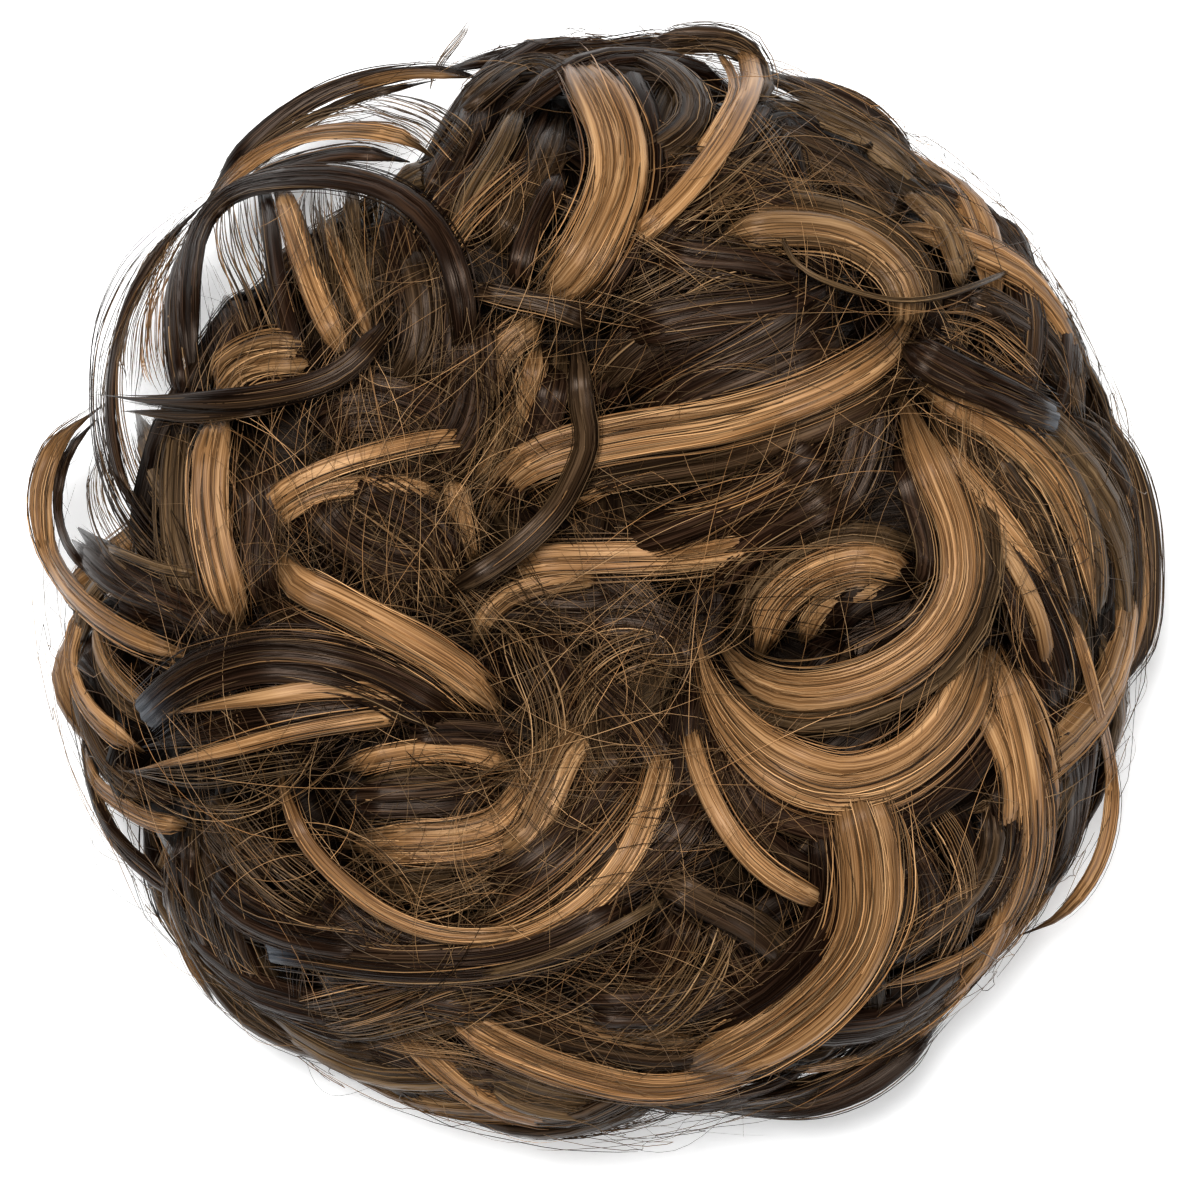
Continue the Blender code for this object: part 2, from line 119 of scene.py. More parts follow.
CARAMEL_LOCKS = locks(
    ("curl_long", CARAMEL, 46, 3.0, "tt", (893, 372), (915, 430), (937, 480), (955, 530), (957, 585),
     (932, 634), (890, 667), (840, 686), (788, 689), (742, 668), (708, 622)),
    ("curl_outer", CARAMEL, 60, 1.5, "pt", (697, 622), (705, 670), (728, 718), (775, 762), (838, 784),
     (900, 768), (950, 725), (976, 670), (984, 610)),
    ("curl_heart", CARAMEL, 34, 0.5, "tt", (756, 668), (772, 612), (814, 574), (868, 560), (930, 580)),
    ("right_cascade", CARAMEL, 38, 1.0, "tp", (898, 366), (955, 400), (1003, 430), (1046, 470),
     (1073, 518), (1088, 575), (1096, 632)),
    ("crown_sweep", CARAMEL, 46, 2.5, "tt", (905, 280), (912, 305), (896, 340), (862, 368), (800, 398),
     (720, 422), (640, 434), (575, 447), (528, 465), (498, 495), (478, 550)),
    ("crown_turn", 0.72, 42, 1.8, "tt", (700, 246), (765, 230), (832, 234), (878, 256), (905, 288),
     (908, 318), (890, 348)),
    ("middle_sweep", CARAMEL, 38, 0.5, "tt", (478, 590), (530, 562), (600, 558), (680, 556), (745, 545),
     (810, 522)),
    ("left_diagonal", CARAMEL, 38, 3.2, "tt", (272, 535), (292, 580), (340, 606), (400, 638), (455, 672),
     (515, 725)),
    ("left_column", CARAMEL, 42, 1.5, "tt", (226, 396), (210, 460), (210, 520), (222, 580), (245, 640)),
    ("left_arc", CARAMEL, 22, 1.5, "tf", (240, 545), (275, 500), (330, 470), (400, 448), (460, 438),
     (530, 440)),
    ("top_streak", CARAMEL, 22, 0.5, "tt", (272, 166), (286, 206), (302, 255), (324, 310), (354, 372)),
    ("top_fall", CARAMEL, 58, 3.0, "tt", (550, 42), (590, 82), (614, 130), (618, 178), (600, 230),
     (568, 278), (525, 312)),
    ("top_arc", CARAMEL, 20, 2.5, "tt", (700, 40), (736, 46), (752, 74), (738, 112), (710, 160),
     (668, 210), (598, 262)),
    ("left_streak", CARAMEL, 16, 3.0, "pt", (152, 716), (250, 699), (330, 690), (400, 695), (462, 712)),
    ("lower_band", CARAMEL, 44, -0.5, "tt", (330, 846), (400, 843), (450, 842), (498, 830), (530, 798),
     (550, 762), (582, 730), (640, 714)),
    ("lower_fall", CARAMEL, 72, 3.0, "tt", (838, 742), (858, 800), (870, 850), (872, 900), (858, 945),
     (826, 990), (780, 1028), (722, 1058), (655, 1076)),
    ("lower_sweep", CARAMEL, 40, 1.0, "tt", (440, 975), (462, 1020), (520, 1054), (590, 1078),
     (662, 1088), (740, 1072), (800, 1044)),
    ("lower_right_arc", CARAMEL, 34, 1.5, "tp", (978, 620), (1003, 680), (1020, 740), (1029, 800),
     (1028, 860), (1010, 912), (975, 950), (930, 973), (872, 988)),
    ("middle_fall", CARAMEL, 28, 1.5, "tt", (690, 695), (666, 750), (652, 800), (630, 852), (596, 895),
     (550, 927), (500, 944), (440, 952), (380, 938)),
    ("left_loop", CARAMEL, 25, 1.0, "tt", (102, 406), (60, 440), (43, 478), (40, 515), (52, 560),
     (86, 604), (140, 640), (215, 664)),
)
EXTRA_LOCKS = locks(
    ("arch_streak", CARAMEL, 24, 2.0, "tt", (205, 207), (250, 162), (300, 138), (350, 131), (400, 136),
     (432, 157)),
    ("window_streak", CARAMEL, 15, 0.5, "tt", (313, 205), (335, 250), (358, 308), (378, 356)),
    ("left_shade", SHADED, 44, -0.5, "tt", (214, 404), (232, 370), (270, 354), (322, 356)),
    ("left_loose", CARAMEL, 34, -1.0, "ttl", (192, 212), (163, 280), (156, 350), (176, 410)),
    ("top_thin", CARAMEL, 24, 1.5, "ttl", (552, 150), (500, 190), (460, 232), (424, 300)),
    ("crown_shade", SHADED, 34, -1.0, "tt", (548, 315), (502, 350), (468, 405)),
    ("crown_second", CARAMEL, 30, 0.5, "tt", (530, 520), (595, 482), (660, 460), (740, 448), (810, 440)),
    ("crown_thin", CARAMEL, 16, 2.0, "ttl", (630, 516), (700, 508), (760, 488), (820, 450)),
    ("centre_thin", SHADED, 24, 0.5, "tt", (470, 650), (496, 606), (540, 586), (620, 574)),
    ("left_arc_low", CARAMEL, 18, 1.0, "tf", (250, 545), (300, 502), (352, 487), (418, 487), (468, 520)),
    ("left_low_arc", CARAMEL, 24, 0.5, "tt", (92, 592), (72, 640), (76, 685), (102, 724), (150, 756)),
    ("left_low_inner", SHADED, 16, 0.0, "tt", (92, 610), (110, 670), (158, 716)),
    ("left_streak_low", CARAMEL, 18, 2.5, "pt", (128, 772), (220, 750), (300, 730), (380, 718),
     (440, 714)),
    ("lower_left_curl", CARAMEL, 17, 3.0, "tf", (278, 750), (288, 800), (306, 842), (342, 882),
     (392, 916), (450, 934), (520, 930), (584, 904)),
    ("low_loop", CARAMEL, 20, -0.5, "tt", (84, 740), (96, 782), (128, 808), (160, 822), (200, 826)),
    ("low_loop_thin", CARAMEL, 10, -1.0, "tt", (100, 798), (108, 832), (130, 860), (176, 886)),
    ("low_edge", CARAMEL, 9, 0.5, "tt", (168, 862), (172, 915), (190, 962), (216, 1004)),
    ("low_rise", CARAMEL, 18, 2.0, "ttl", (262, 1012), (330, 998), (400, 982), (460, 964), (520, 958)),
    ("low_fan", KHAKI, 44, 0.5, "ttl", (285, 1010), (350, 1022), (410, 1008), (470, 992), (530, 986)),
    ("low_streak", SHADED, 22, 0.5, "ttl", (340, 1030), (410, 1046), (480, 1056), (560, 1086)),
    ("low_fringe", KHAKI, 60, -1.0, "tt", (470, 1062), (530, 1092), (590, 1102), (650, 1096)),
    ("low_shade", SHADED, 30, -0.5, "ttl", (372, 912), (450, 898), (510, 866), (560, 826)),
    ("low_line", KHAKI, 9, 3.5, "tt", (445, 978), (500, 970), (560, 952), (620, 925), (680, 890)),
    ("low_inner", SHADED, 34, -2.0, "tt", (500, 1030), (580, 1035), (660, 1045), (735, 1052)),
    ("middle_thin", CARAMEL, 20, 2.5, "tt", (684, 690), (700, 765), (730, 828), (770, 872), (830, 905),
     (858, 915)),
    ("middle_khaki", 0.62, 34, 1.5, "ttl", (505, 600), (524, 655), (545, 705), (548, 765), (530, 830)),
    ("middle_rise", SHADED, 34, 1.0, "tt", (610, 722), (572, 745), (550, 790), (525, 838), (480, 862)),
    ("middle_band", CARAMEL, 26, 0.5, "tt", (330, 772), (390, 756), (455, 752), (530, 770)),
    ("heart_inner", SHADED, 26, -1.0, "tt", (796, 652), (822, 606), (868, 590), (910, 604)),
    ("cascade_second", CARAMEL, 22, 1.0, "tp", (922, 425), (978, 488), (1020, 540), (1062, 600)),
    ("right_strand", CARAMEL, 14, 3.0, "tt", (1055, 580), (1080, 640), (1096, 700), (1110, 760),
     (1113, 805), (1105, 850), (1085, 890), (1055, 920), (1018, 936)),
    ("right_edge", CARAMEL, 24, 1.0, "tt", (1104, 446), (1134, 520), (1141, 590), (1130, 650),
     (1100, 704)),
    ("lower_right_thin", CARAMEL, 20, 1.0, "tt", (968, 690), (1000, 742), (1010, 805), (1000, 850)),
    ("lower_right_side", CARAMEL, 24, 0.0, "tt", (1000, 648), (1038, 725), (1052, 795), (1046, 860)),
    ("lower_right_rim", CARAMEL, 16, -0.5, "tt", (962, 990), (925, 1026), (880, 1052), (825, 1066),
     (770, 1070)),
    ("turn_loop", KHAKI, 5, 3.5, "tt", (776, 192), (790, 258), (850, 290), (920, 300), (1000, 275),
     (1042, 246)),
    ("left_loose_thin", SHADED, 10, -0.5, "ttl", (198, 214), (152, 256), (128, 320), (120, 398),
     (134, 470), (166, 530)),
    ("outline_streak", SHADED, 10, 1.0, "tt", (330, 96), (370, 80), (420, 74), (470, 78)),
    ("top_khaki", KHAKI, 26, 0.0, "tt", (524, 92), (502, 146), (470, 200), (452, 256)),
    ("crown_right_khaki", KHAKI, 46, -1.0, "tt", (762, 98), (820, 118), (880, 150), (930, 196)),
    ("right_khaki", 0.62, 40, -1.0, "tt", (900, 186), (936, 214), (956, 250), (966, 292)),
    ("turn_khaki", 0.60, 30, -1.0, "tt", (640, 218), (710, 196), (780, 190), (850, 208)),
    ("right_lobe_streak", SHADED, 30, 0.0, "ttl", (920, 316), (980, 330), (1020, 360), (1046, 392)),
    ("right_khaki_long", KHAKI, 22, 0.0, "tt", (1040, 428), (1082, 496), (1100, 566), (1096, 640)),
    ("middle_khaki_low", KHAKI, 26, 0.0, "tt", (640, 480), (700, 470), (770, 452), (830, 420)),
    ("low_rise_second", 0.7, 24, 1.5, "ttl", (290, 1032), (370, 1012), (440, 986), (500, 976)),
    ("low_sheen_streak", CARAMEL, 20, 2.5, "ttl", (450, 936), (520, 908), (580, 862), (632, 800),
     (656, 752)),
    ("right_inner_streak", SHADED, 16, 1.0, "tt", (950, 470), (1000, 540), (1040, 620), (1052, 700)),
    ("window_loose_1", 0.62, 48, -0.5, "ttl", (206, 212), (168, 270), (140, 330), (136, 405)),
    ("window_loose_2", 0.62, 44, -1.0, "ttl", (236, 176), (238, 240), (262, 300), (280, 360)),
    ("window_loose_3", 0.45, 50, -1.0, "ttl", (330, 176), (345, 240), (352, 300), (372, 350)),
    ("window_loose_4", 0.45, 40, 0.0, "ttl", (350, 100), (400, 112), (440, 130), (478, 170)),
    ("window_loose_5", 0.40, 30, 0.0, "ttl", (230, 180), (280, 140), (330, 118), (390, 112)),
    ("left_hole_loose", 0.55, 36, -0.5, "ttl", (110, 440), (100, 490), (118, 540), (160, 580)),
    ("centre_khaki_1", 0.66, 40, 0.5, "ttl", (560, 760), (580, 700), (620, 660), (690, 640)),
    ("centre_khaki_2", 0.60, 46, 0.0, "ttl", (330, 480), (380, 520), (430, 560), (450, 630)),
    ("centre_khaki_3", 0.55, 50, 0.0, "ttl", (480, 330), (500, 390), (490, 450), (450, 500)),
    ("centre_caramel_1", 0.85, 26, 0.0, "tt", (540, 330), (528, 390), (500, 450), (470, 500)),
    ("centre_caramel_2", 0.85, 24, -0.5, "tt", (450, 470), (462, 520), (474, 570)),
    ("crown_khaki_1", 0.55, 50, 0.5, "ttl", (600, 330), (660, 300), (720, 270), (800, 262)),
    ("crown_khaki_2", 0.55, 50, 0.5, "ttl", (640, 240), (700, 210), (760, 160), (800, 110)),
    ("low_khaki_1", 0.60, 50, 0.5, "ttl", (720, 900), (700, 960), (660, 1010), (600, 1040)),
    ("low_khaki_2", 0.60, 44, 0.0, "ttl", (220, 800), (250, 850), (290, 890), (340, 920)),
    ("right_khaki_1", 0.62, 40, 0.5, "ttl", (930, 400), (990, 450), (1040, 510), (1070, 600)),
    ("top_arc_second", CARAMEL, 12, 2.0, "tt", (712, 42), (736, 84), (720, 122), (688, 168)),
)
BROWN_LOCKS = locks(
    ("arch", DARK, 30, 3.0, "tt", (200, 418), (188, 340), (188, 270), (203, 220), (240, 188), (295, 177),
     (350, 179), (402, 198), (440, 236), (460, 290), (465, 350), (455, 420)),
    ("flick", DARK, 22, 5.0, "pt", (96, 394), (160, 401), (250, 398), (330, 378), (380, 335),
     (405, 292)),
    ("flick_low", BROWN, 12, 4.0, "pt", (120, 411), (200, 415), (290, 404)),
    ("hook", BROWN, 22, 5.5, "tt", (574, 318), (581, 400), (587, 440), (575, 475), (555, 510),
     (520, 545), (470, 580), (420, 604)),
    ("hook_lead", BROWN, 20, 2.5, "tt", (455, 286), (550, 308), (606, 328)),
    ("top_arch", BROWN, 34, 2.0, "tt", (585, 48), (650, 60), (690, 90), (690, 122), (655, 150),
     (610, 160)),
    ("top_outer", BROWN, 30, 1.0, "tt", (625, 52), (700, 38), (745, 48), (762, 82), (748, 118)),
    ("top_lobe", BROWN, 36, 1.0, "tt", (448, 122), (500, 76), (545, 64), (590, 90)),
    ("top_dark", DARK, 22, 2.0, "tt", (566, 160), (532, 230), (512, 298)),
    ("crown_band", DARK, 50, 1.0, "tt", (858, 272), (800, 308), (738, 344), (672, 376), (612, 418)),
    ("crown_low_band", BROWN, 38, 0.5, "tt", (640, 520), (720, 524), (800, 504), (856, 462)),
    ("crown_dark", DARK, 44, -1.5, "tt", (690, 300), (640, 340), (600, 392), (590, 430)),
    ("cut_right", DARK, 44, 4.0, "tc", (892, 338), (948, 368), (1000, 394), (1056, 418)),
    ("right_outer", DARK, 48, 0.0, "tt", (905, 178), (972, 212), (1012, 258), (1030, 320)),
    ("right_rim", DARK, 22, 0.0, "tt", (770, 72), (850, 100), (892, 130), (922, 172)),
    ("right_lobe", BROWN, 34, -0.5, "tt", (1000, 300), (1050, 325), (1074, 365), (1078, 410)),
    ("cut_left", DARK, 54, 2.6, "tc", (484, 738), (430, 706), (356, 670), (276, 657), (218, 668),
     (176, 690), (146, 716)),
    ("cut_left_under", DARK, 44, 0.5, "pt", (142, 748), (250, 722), (345, 710), (430, 706)),
    ("left_khaki", KHAKI, 22, 1.5, "ptl", (118, 770), (200, 776), (292, 762), (340, 754)),
    ("left_inner", DARK, 32, 0.0, "tt", (78, 528), (130, 580), (195, 612), (250, 648)),
    ("left_thin", KHAKI, 10, 1.0, "tt", (92, 540), (150, 565), (212, 578)),
    ("left_strands", BROWN, 30, 0.5, "ttl", (98, 372), (106, 440), (124, 500), (160, 550), (214, 586)),
    ("low_rim", BROWN, 44, 0.5, "tt", (182, 822), (182, 900), (208, 960), (248, 1010), (306, 1042),
     (380, 1056), (440, 1068)),
    ("low_rim_inner", DARK, 44, 0.0, "tt", (222, 850), (226, 920), (256, 985), (320, 1022), (400, 1036)),
    ("low_rim_end", BROWN, 40, -0.5, "tt", (350, 1052), (420, 1080), (480, 1092), (540, 1088)),
    ("low_wave", DARK, 48, 1.2, "tt", (206, 846), (228, 892), (272, 920), (332, 936), (402, 942)),
    ("cut_low", DARK, 42, 2.0, "ct", (270, 950), (330, 957), (410, 965), (490, 962), (560, 944),
     (620, 914), (668, 878)),
    ("low_sheen", DARK, 46, 0.5, "tt", (462, 912), (530, 872), (582, 830), (622, 785), (655, 735)),
    ("low_sheen_second", BROWN, 34, 1.0, "tt", (520, 925), (575, 888), (618, 845), (648, 800)),
    ("low_right_bottom", DARK, 36, -0.5, "tt", (680, 1098), (780, 1104), (850, 1086), (905, 1048),
     (955, 1000)),
    ("low_right_under", DARK, 34, -1.0, "tt", (845, 1035), (905, 1012), (955, 985), (1005, 938)),
    ("right_wide", DARK, 60, -1.0, "tt", (975, 500), (1025, 590), (1055, 660), (1062, 730)),
    ("right_low", DARK, 32, 0.0, "tt", (1050, 700), (1070, 770), (1068, 840), (1045, 895)),
    ("right_low_inner", BROWN, 28, 0.0, "tt", (985, 780), (992, 840), (968, 895), (915, 940),
     (862, 968)),
    ("right_outline", BROWN, 26, 0.0, "tt", (1082, 404), (1120, 440), (1144, 505), (1150, 580),
     (1142, 645), (1104, 704)),
    ("outline_top_left", DARK, 20, 0.5, "tt", (200, 212), (235, 166), (275, 127), (314, 100), (356, 82),
     (410, 72), (452, 70), (492, 84)),
    ("outline_left", DARK, 22, 0.5, "ttl", (208, 202), (162, 236), (127, 276), (104, 332), (97, 400),
     (106, 462), (132, 516), (172, 560), (216, 584)),
    ("curl_companion", DARK, 12, 2.0, "tt", (968, 575), (952, 640), (905, 690), (850, 702)),
    ("curl_inner", DARK, 20, 1.5, "tt", (892, 440), (912, 500), (926, 560), (912, 600)),
    ("centre_dark", DARK, 46, -0.5, "tt", (560, 640), (620, 620), (680, 640), (700, 700)),
    ("centre_low", DARK, 44, -1.0, "tt", (455, 600), (520, 600), (590, 606), (650, 590)),
    ("heart_dark", DARK, 44, -3.5, "tt", (790, 670), (850, 640), (905, 610), (925, 560)),
    ("lower_dark", DARK, 36, -0.5, "tt", (330, 800), (400, 800), (460, 795), (520, 780)),
    ("lower_sheen", DARK, 26, 0.5, "tt", (390, 738), (460, 734), (535, 742)),
    ("left_upper_dark", DARK, 50, -0.5, "tt", (300, 440), (360, 410), (420, 430), (440, 500)),
    ("arch_inner", BROWN, 30, 1.0, "tt", (400, 230), (420, 290), (415, 350), (385, 400)),
    ("arch_leg", DARK, 24, 1.0, "tt", (186, 420), (174, 345), (178, 275), (206, 214)),
    ("outline_inner", BROWN, 14, 0.0, "tt", (214, 204), (262, 152), (314, 118), (374, 94), (436, 80)),
    ("outline_left_inner", KHAKI, 14, 0.0, "ttl", (206, 206), (158, 248), (124, 312), (108, 402),
     (120, 480), (150, 540)),
    ("band_under", DARK, 24, 1.0, "tt", (214, 208), (258, 177), (310, 159), (362, 152), (410, 162)),
    ("window_dark_1", DARK, 26, -0.5, "tt", (256, 168), (268, 212), (276, 275), (292, 340), (304, 396)),
    ("window_dark_2", DARK, 46, -2.0, "tt", (224, 296), (234, 346), (244, 396)),
    ("window_dark_3", BROWN, 26, -1.5, "tt", (302, 222), (326, 282), (338, 350)),
    ("window_khaki", KHAKI, 16, -0.5, "tt", (350, 172), (354, 245), (376, 322)),
    ("window_dark_4", DARK, 34, 0.0, "tt", (384, 186), (400, 250), (412, 320), (414, 396)),
    ("arch_right_dark", DARK, 40, -1.0, "tt", (428, 212), (446, 280), (448, 350), (436, 424)),
    ("top_brown", BROWN, 34, -1.0, "tt", (562, 108), (546, 162), (520, 212), (488, 264)),
    ("top_brown_2", DARK, 34, -1.5, "tt", (480, 84), (470, 130), (446, 172), (424, 214)),
    ("left_fill", KHAKI, 34, -2.0, "tt", (136, 412), (160, 470), (190, 522), (206, 574)),
    ("left_loop_inner", DARK, 12, 0.5, "tt", (98, 418), (68, 452), (57, 500), (68, 546), (102, 586)),
    ("left_hole_edge", DARK, 28, -0.5, "tt", (72, 540), (116, 582), (182, 608)),
    ("crown_band_second", DARK, 40, 1.0, "tt", (862, 320), (802, 354), (742, 382), (676, 408),
     (618, 436)),
    ("crown_band_third", BROWN, 34, 0.5, "tt", (730, 296), (672, 328), (622, 364), (590, 402)),
    ("crown_right_brown", BROWN, 44, -1.5, "tt", (738, 130), (800, 148), (860, 178), (912, 222)),
    ("crown_top_brown", BROWN, 40, -1.5, "tt", (636, 172), (700, 178), (764, 168), (826, 164)),
    ("right_dark_mass", DARK, 46, -1.0, "tt", (975, 205), (1010, 240), (1022, 290), (1030, 340)),
    ("right_lobe_brown", BROWN, 36, -0.5, "tt", (946, 290), (1006, 312), (1052, 350), (1076, 400)),
    ("right_inner_dark", DARK, 40, 0.0, "tt", (928, 436), (982, 516), (1018, 588), (1044, 664)),
    ("right_inner_brown", BROWN, 32, 0.0, "tt", (966, 428), (1022, 500), (1060, 572), (1080, 654)),
    ("crown_drop_dark", DARK, 44, -1.0, "tt", (872, 366), (866, 430), (846, 490), (796, 536)),
    ("low_left_fill", BROWN, 48, -2.0, "tt", (200, 796), (240, 848), (292, 882)),
    ("low_mid_dark", DARK, 44, 0.0, "tt", (300, 985), (370, 990), (450, 1000), (520, 1020)),
    ("low_bottom_dark", DARK, 40, -0.5, "tt", (330, 1030), (400, 1056), (470, 1076), (540, 1084)),
    ("low_right_dark", DARK, 44, -1.0, "tt", (700, 900), (740, 950), (760, 1000), (740, 1040)),
    ("low_right_dark_2", DARK, 40, -1.0, "tt", (890, 830), (920, 880), (920, 930), (880, 975)),
    ("centre_fill", DARK, 46, -1.0, "tt", (560, 560), (620, 590), (660, 640), (668, 700)),
    ("left_mid_dark", DARK, 44, -1.0, "tt", (300, 520), (360, 510), (420, 530), (462, 580)),
    ("centre_dark_1", DARK, 40, 0.5, "tt", (470, 300), (476, 370), (460, 430), (420, 480)),
    ("centre_dark_2", DARK, 40, 0.5, "tt", (330, 470), (390, 500), (440, 540), (456, 600)),
    ("centre_dark_3", DARK, 36, 0.5, "tt", (560, 350), (546, 410), (520, 470), (486, 520)),
    ("centre_dark_4", BROWN, 40, 0.0, "tt", (600, 640), (590, 700), (600, 760), (640, 800)),
    ("centre_dark_5", DARK, 40, 0.5, "tt", (700, 660), (690, 720), (690, 780), (720, 850)),
    ("left_dark_1", DARK, 40, 0.0, "tt", (250, 440), (262, 500), (258, 560), (270, 620)),
    ("left_dark_2", DARK, 36, 0.0, "tt", (330, 380), (390, 390), (440, 410), (470, 450)),
    ("crown_dark_2", DARK, 46, 1.2, "tt", (640, 250), (690, 262), (750, 270), (820, 286)),
    ("low_dark_1", DARK, 46, 0.5, "tt", (300, 880), (360, 930), (440, 956), (520, 950)),
    ("low_dark_2", DARK, 40, 0.5, "tt", (560, 1000), (620, 1010), (690, 1000), (750, 960)),
    ("low_dark_3", BROWN, 36, 0.5, "tt", (640, 870), (700, 900), (760, 930), (800, 980)),
    ("right_dark_2", DARK, 40, 0.0, "tt", (1000, 760), (1010, 830), (990, 890), (950, 930)),
    ("rim_1", DARK, 28, -0.5, "tt", (430, 74), (520, 54), (600, 50), (660, 44), (722, 50)),
    ("rim_2", BROWN, 34, -0.5, "tt", (752, 66), (846, 112), (900, 156), (958, 196)),
    ("rim_3", KHAKI, 40, -0.5, "tt", (888, 150), (954, 196), (1004, 240), (1030, 296)),
    ("rim_4", BROWN, 36, -0.5, "tt", (1020, 262), (1048, 320), (1070, 370), (1082, 430)),
    ("rim_5", DARK, 44, -0.5, "tt", (1078, 420), (1118, 480), (1130, 560), (1122, 640), (1094, 720)),
    ("rim_6", DARK, 36, -0.5, "tt", (1090, 690), (1082, 780), (1066, 850), (1026, 915)),
    ("rim_7", BROWN, 38, -0.5, "tt", (1012, 925), (956, 986), (896, 1034), (832, 1070)),
    ("rim_8", BROWN, 38, -0.5, "tt", (860, 1074), (780, 1096), (700, 1098), (616, 1090)),
    ("rim_9", KHAKI, 34, -0.5, "tt", (668, 1104), (580, 1112), (510, 1098), (446, 1080)),
    ("rim_10", BROWN, 38, -0.5, "tt", (508, 1088), (410, 1070), (330, 1052), (258, 1005)),
    ("rim_11", DARK, 36, -0.5, "tt", (250, 1005), (206, 942), (184, 880), (188, 816)),
    ("rim_12", BROWN, 28, -0.5, "tt", (166, 806), (114, 772), (84, 712), (78, 648)),
    ("outline_left_second", DARK, 12, 1.0, "tt", (212, 196), (176, 232), (142, 276), (118, 336),
     (110, 410), (122, 480), (150, 536)),
    ("bottom_fringe", KHAKI, 26, -1.0, "ttl", (440, 1040), (500, 1086), (570, 1110), (640, 1106),
     (700, 1080)),
    ("bottom_fringe_low", SHADED, 16, -1.5, "ttl", (462, 1056), (520, 1102), (590, 1126), (660, 1114),
     (706, 1090)),
    ("bottom_fringe_left", KHAKI, 20, -1.0, "ttl", (300, 1000), (350, 1050), (420, 1086), (500, 1096),
     (560, 1086)),
    ("window_loose_7", 0.30, 40, -0.5, "ttl", (322, 160), (318, 215), (330, 280), (352, 350)),
    ("low_left_loop", CARAMEL, 14, -1.0, "ttl", (104, 764), (108, 818), (132, 862), (172, 884)),
    ("right_fall_1", CARAMEL, 24, 0.5, "ttl", (1000, 700), (1040, 770), (1046, 850), (1016, 930),
     (960, 990)),
    ("right_fall_2", SHADED, 22, 0.5, "ttl", (960, 800), (1000, 860), (1000, 930), (950, 1000),
     (890, 1050)),
    ("crown_dark_3", DARK, 44, 1.4, "tt", (600, 340), (690, 316), (780, 306), (858, 286)),
    ("under_sweep_dark", DARK, 44, 1.3, "tt", (596, 548), (690, 520), (780, 478), (852, 420)),
    ("middle_dark_low", DARK, 34, 0.6, "tt", (700, 606), (740, 560), (800, 520), (862, 490)),
    ("top_tuft", KHAKI, 8, -1.0, "ptl", (474, 14), (466, 30), (454, 46), (440, 66), (430, 96)),
    ("right_fall_3", SHADED, 28, 0.5, "ttl", (918, 790), (956, 846), (964, 910), (930, 984)),
    ("centre_dark_again", DARK, 40, 0.6, "tt", (560, 640), (600, 690), (650, 742), (676, 800)),
    ("lower_dark_1", DARK, 44, 0.6, "tt", (560, 900), (620, 880), (680, 830), (712, 770)),
    ("left_dark_3", DARK, 38, 0.4, "tt", (300, 470), (340, 530), (400, 560), (470, 560)),
    ("top_right_dark", DARK, 40, 0.6, "tt", (640, 180), (700, 172), (760, 186), (820, 214)),
    ("rim_13", KHAKI, 26, -0.5, "tt", (76, 650), (90, 602), (126, 556)),
)

# Locks that fill the space below those of the photo
COMPANION_WIDTH = 19  # of the narrowest light lock with a dark one beside it, in pixels
UNDER_LOCKS = 110
COMPANION_TONES = (DARK, DARK, DARK, BROWN, DULL)
COMPANION_REACH = 0.91
UNDER_TONES = (DARK, DARK, DARK, DARK, BROWN, BROWN, DULL, KHAKI)
UNDER_REACH = 0.90
SideRow = namedtuple("SideRow", "start top locks")  # heights as shares of BUN_HEIGHT
SIDE_ROWS = (
    SideRow(0.04, 0.26, 19), SideRow(0.08, 0.46, 17), SideRow(0.22, 0.64, 17), SideRow(0.36, 0.78, 16),
)
SIDE_TONES = (DARK, KHAKI, SHADED, BROWN, DARK, CARAMEL, DARK, KHAKI, BROWN, CARAMEL, DARK)
UNDERSIDE_LOCKS = 30
WINDOW = (106.0, 177.0)  # bearings between which the photo shows the table through the outer locks
WINDOW_REACH = 0.79  # of the locks there, and then of the backing
WINDOW_BACKING_REACH = 0.75

# Loose hairs lie thickest in these places of the photo: x, y and spread in pixels, and their weight
Patch = namedtuple("Patch", "x y spread weight")
PATCHES = (
    Patch(360, 320, 130, 5), Patch(300, 500, 120, 4), Patch(500, 420, 90, 4), Patch(480, 250, 90, 3),
    Patch(700, 200, 110, 4), Patch(860, 170, 90, 4), Patch(960, 300, 80, 4), Patch(700, 330, 100, 3),
    Patch(620, 640, 120, 5), Patch(480, 720, 110, 3), Patch(300, 860, 110, 4), Patch(600, 1040, 110, 4),
    Patch(450, 1040, 110, 3), Patch(720, 930, 110, 4), Patch(930, 860, 90, 2), Patch(1040, 620, 90, 3),
    Patch(600, 588, 300, 12),
)

# Sets of loose hairs: how many, their lowest and highest lift in millimetres, the mean and spread of their
# tone, their thickness in millimetres, the share that follows the locks, and how many lie side by side
HairSet = namedtuple("HairSet", "count low high tone thickness follow group")
BROWN_HAIRS = (
    HairSet(360, -2.0, 1.6, (0.14, 0.18), 0.060, 0.92, 8),
    HairSet(280, -1.5, 2.4, (0.50, 0.16), 0.032, 0.35, 1),
)
CARAMEL_HAIRS = (
    HairSet(920, -1.0, 2.4, (0.66, 0.20), 0.036, 0.95, 8),
    HairSet(560, -1.5, 2.6, (0.70, 0.16), 0.034, 0.35, 1),
)
OUTER_TONE = (0.45, 0.25)  # mean and spread, of the hairs on the side and at the outline
SIDE_HAIRS = 150  # of each colour
SIDE_THICKNESS = 0.058
HALO_HAIRS = 150
HALO_THICKNESS = 0.032

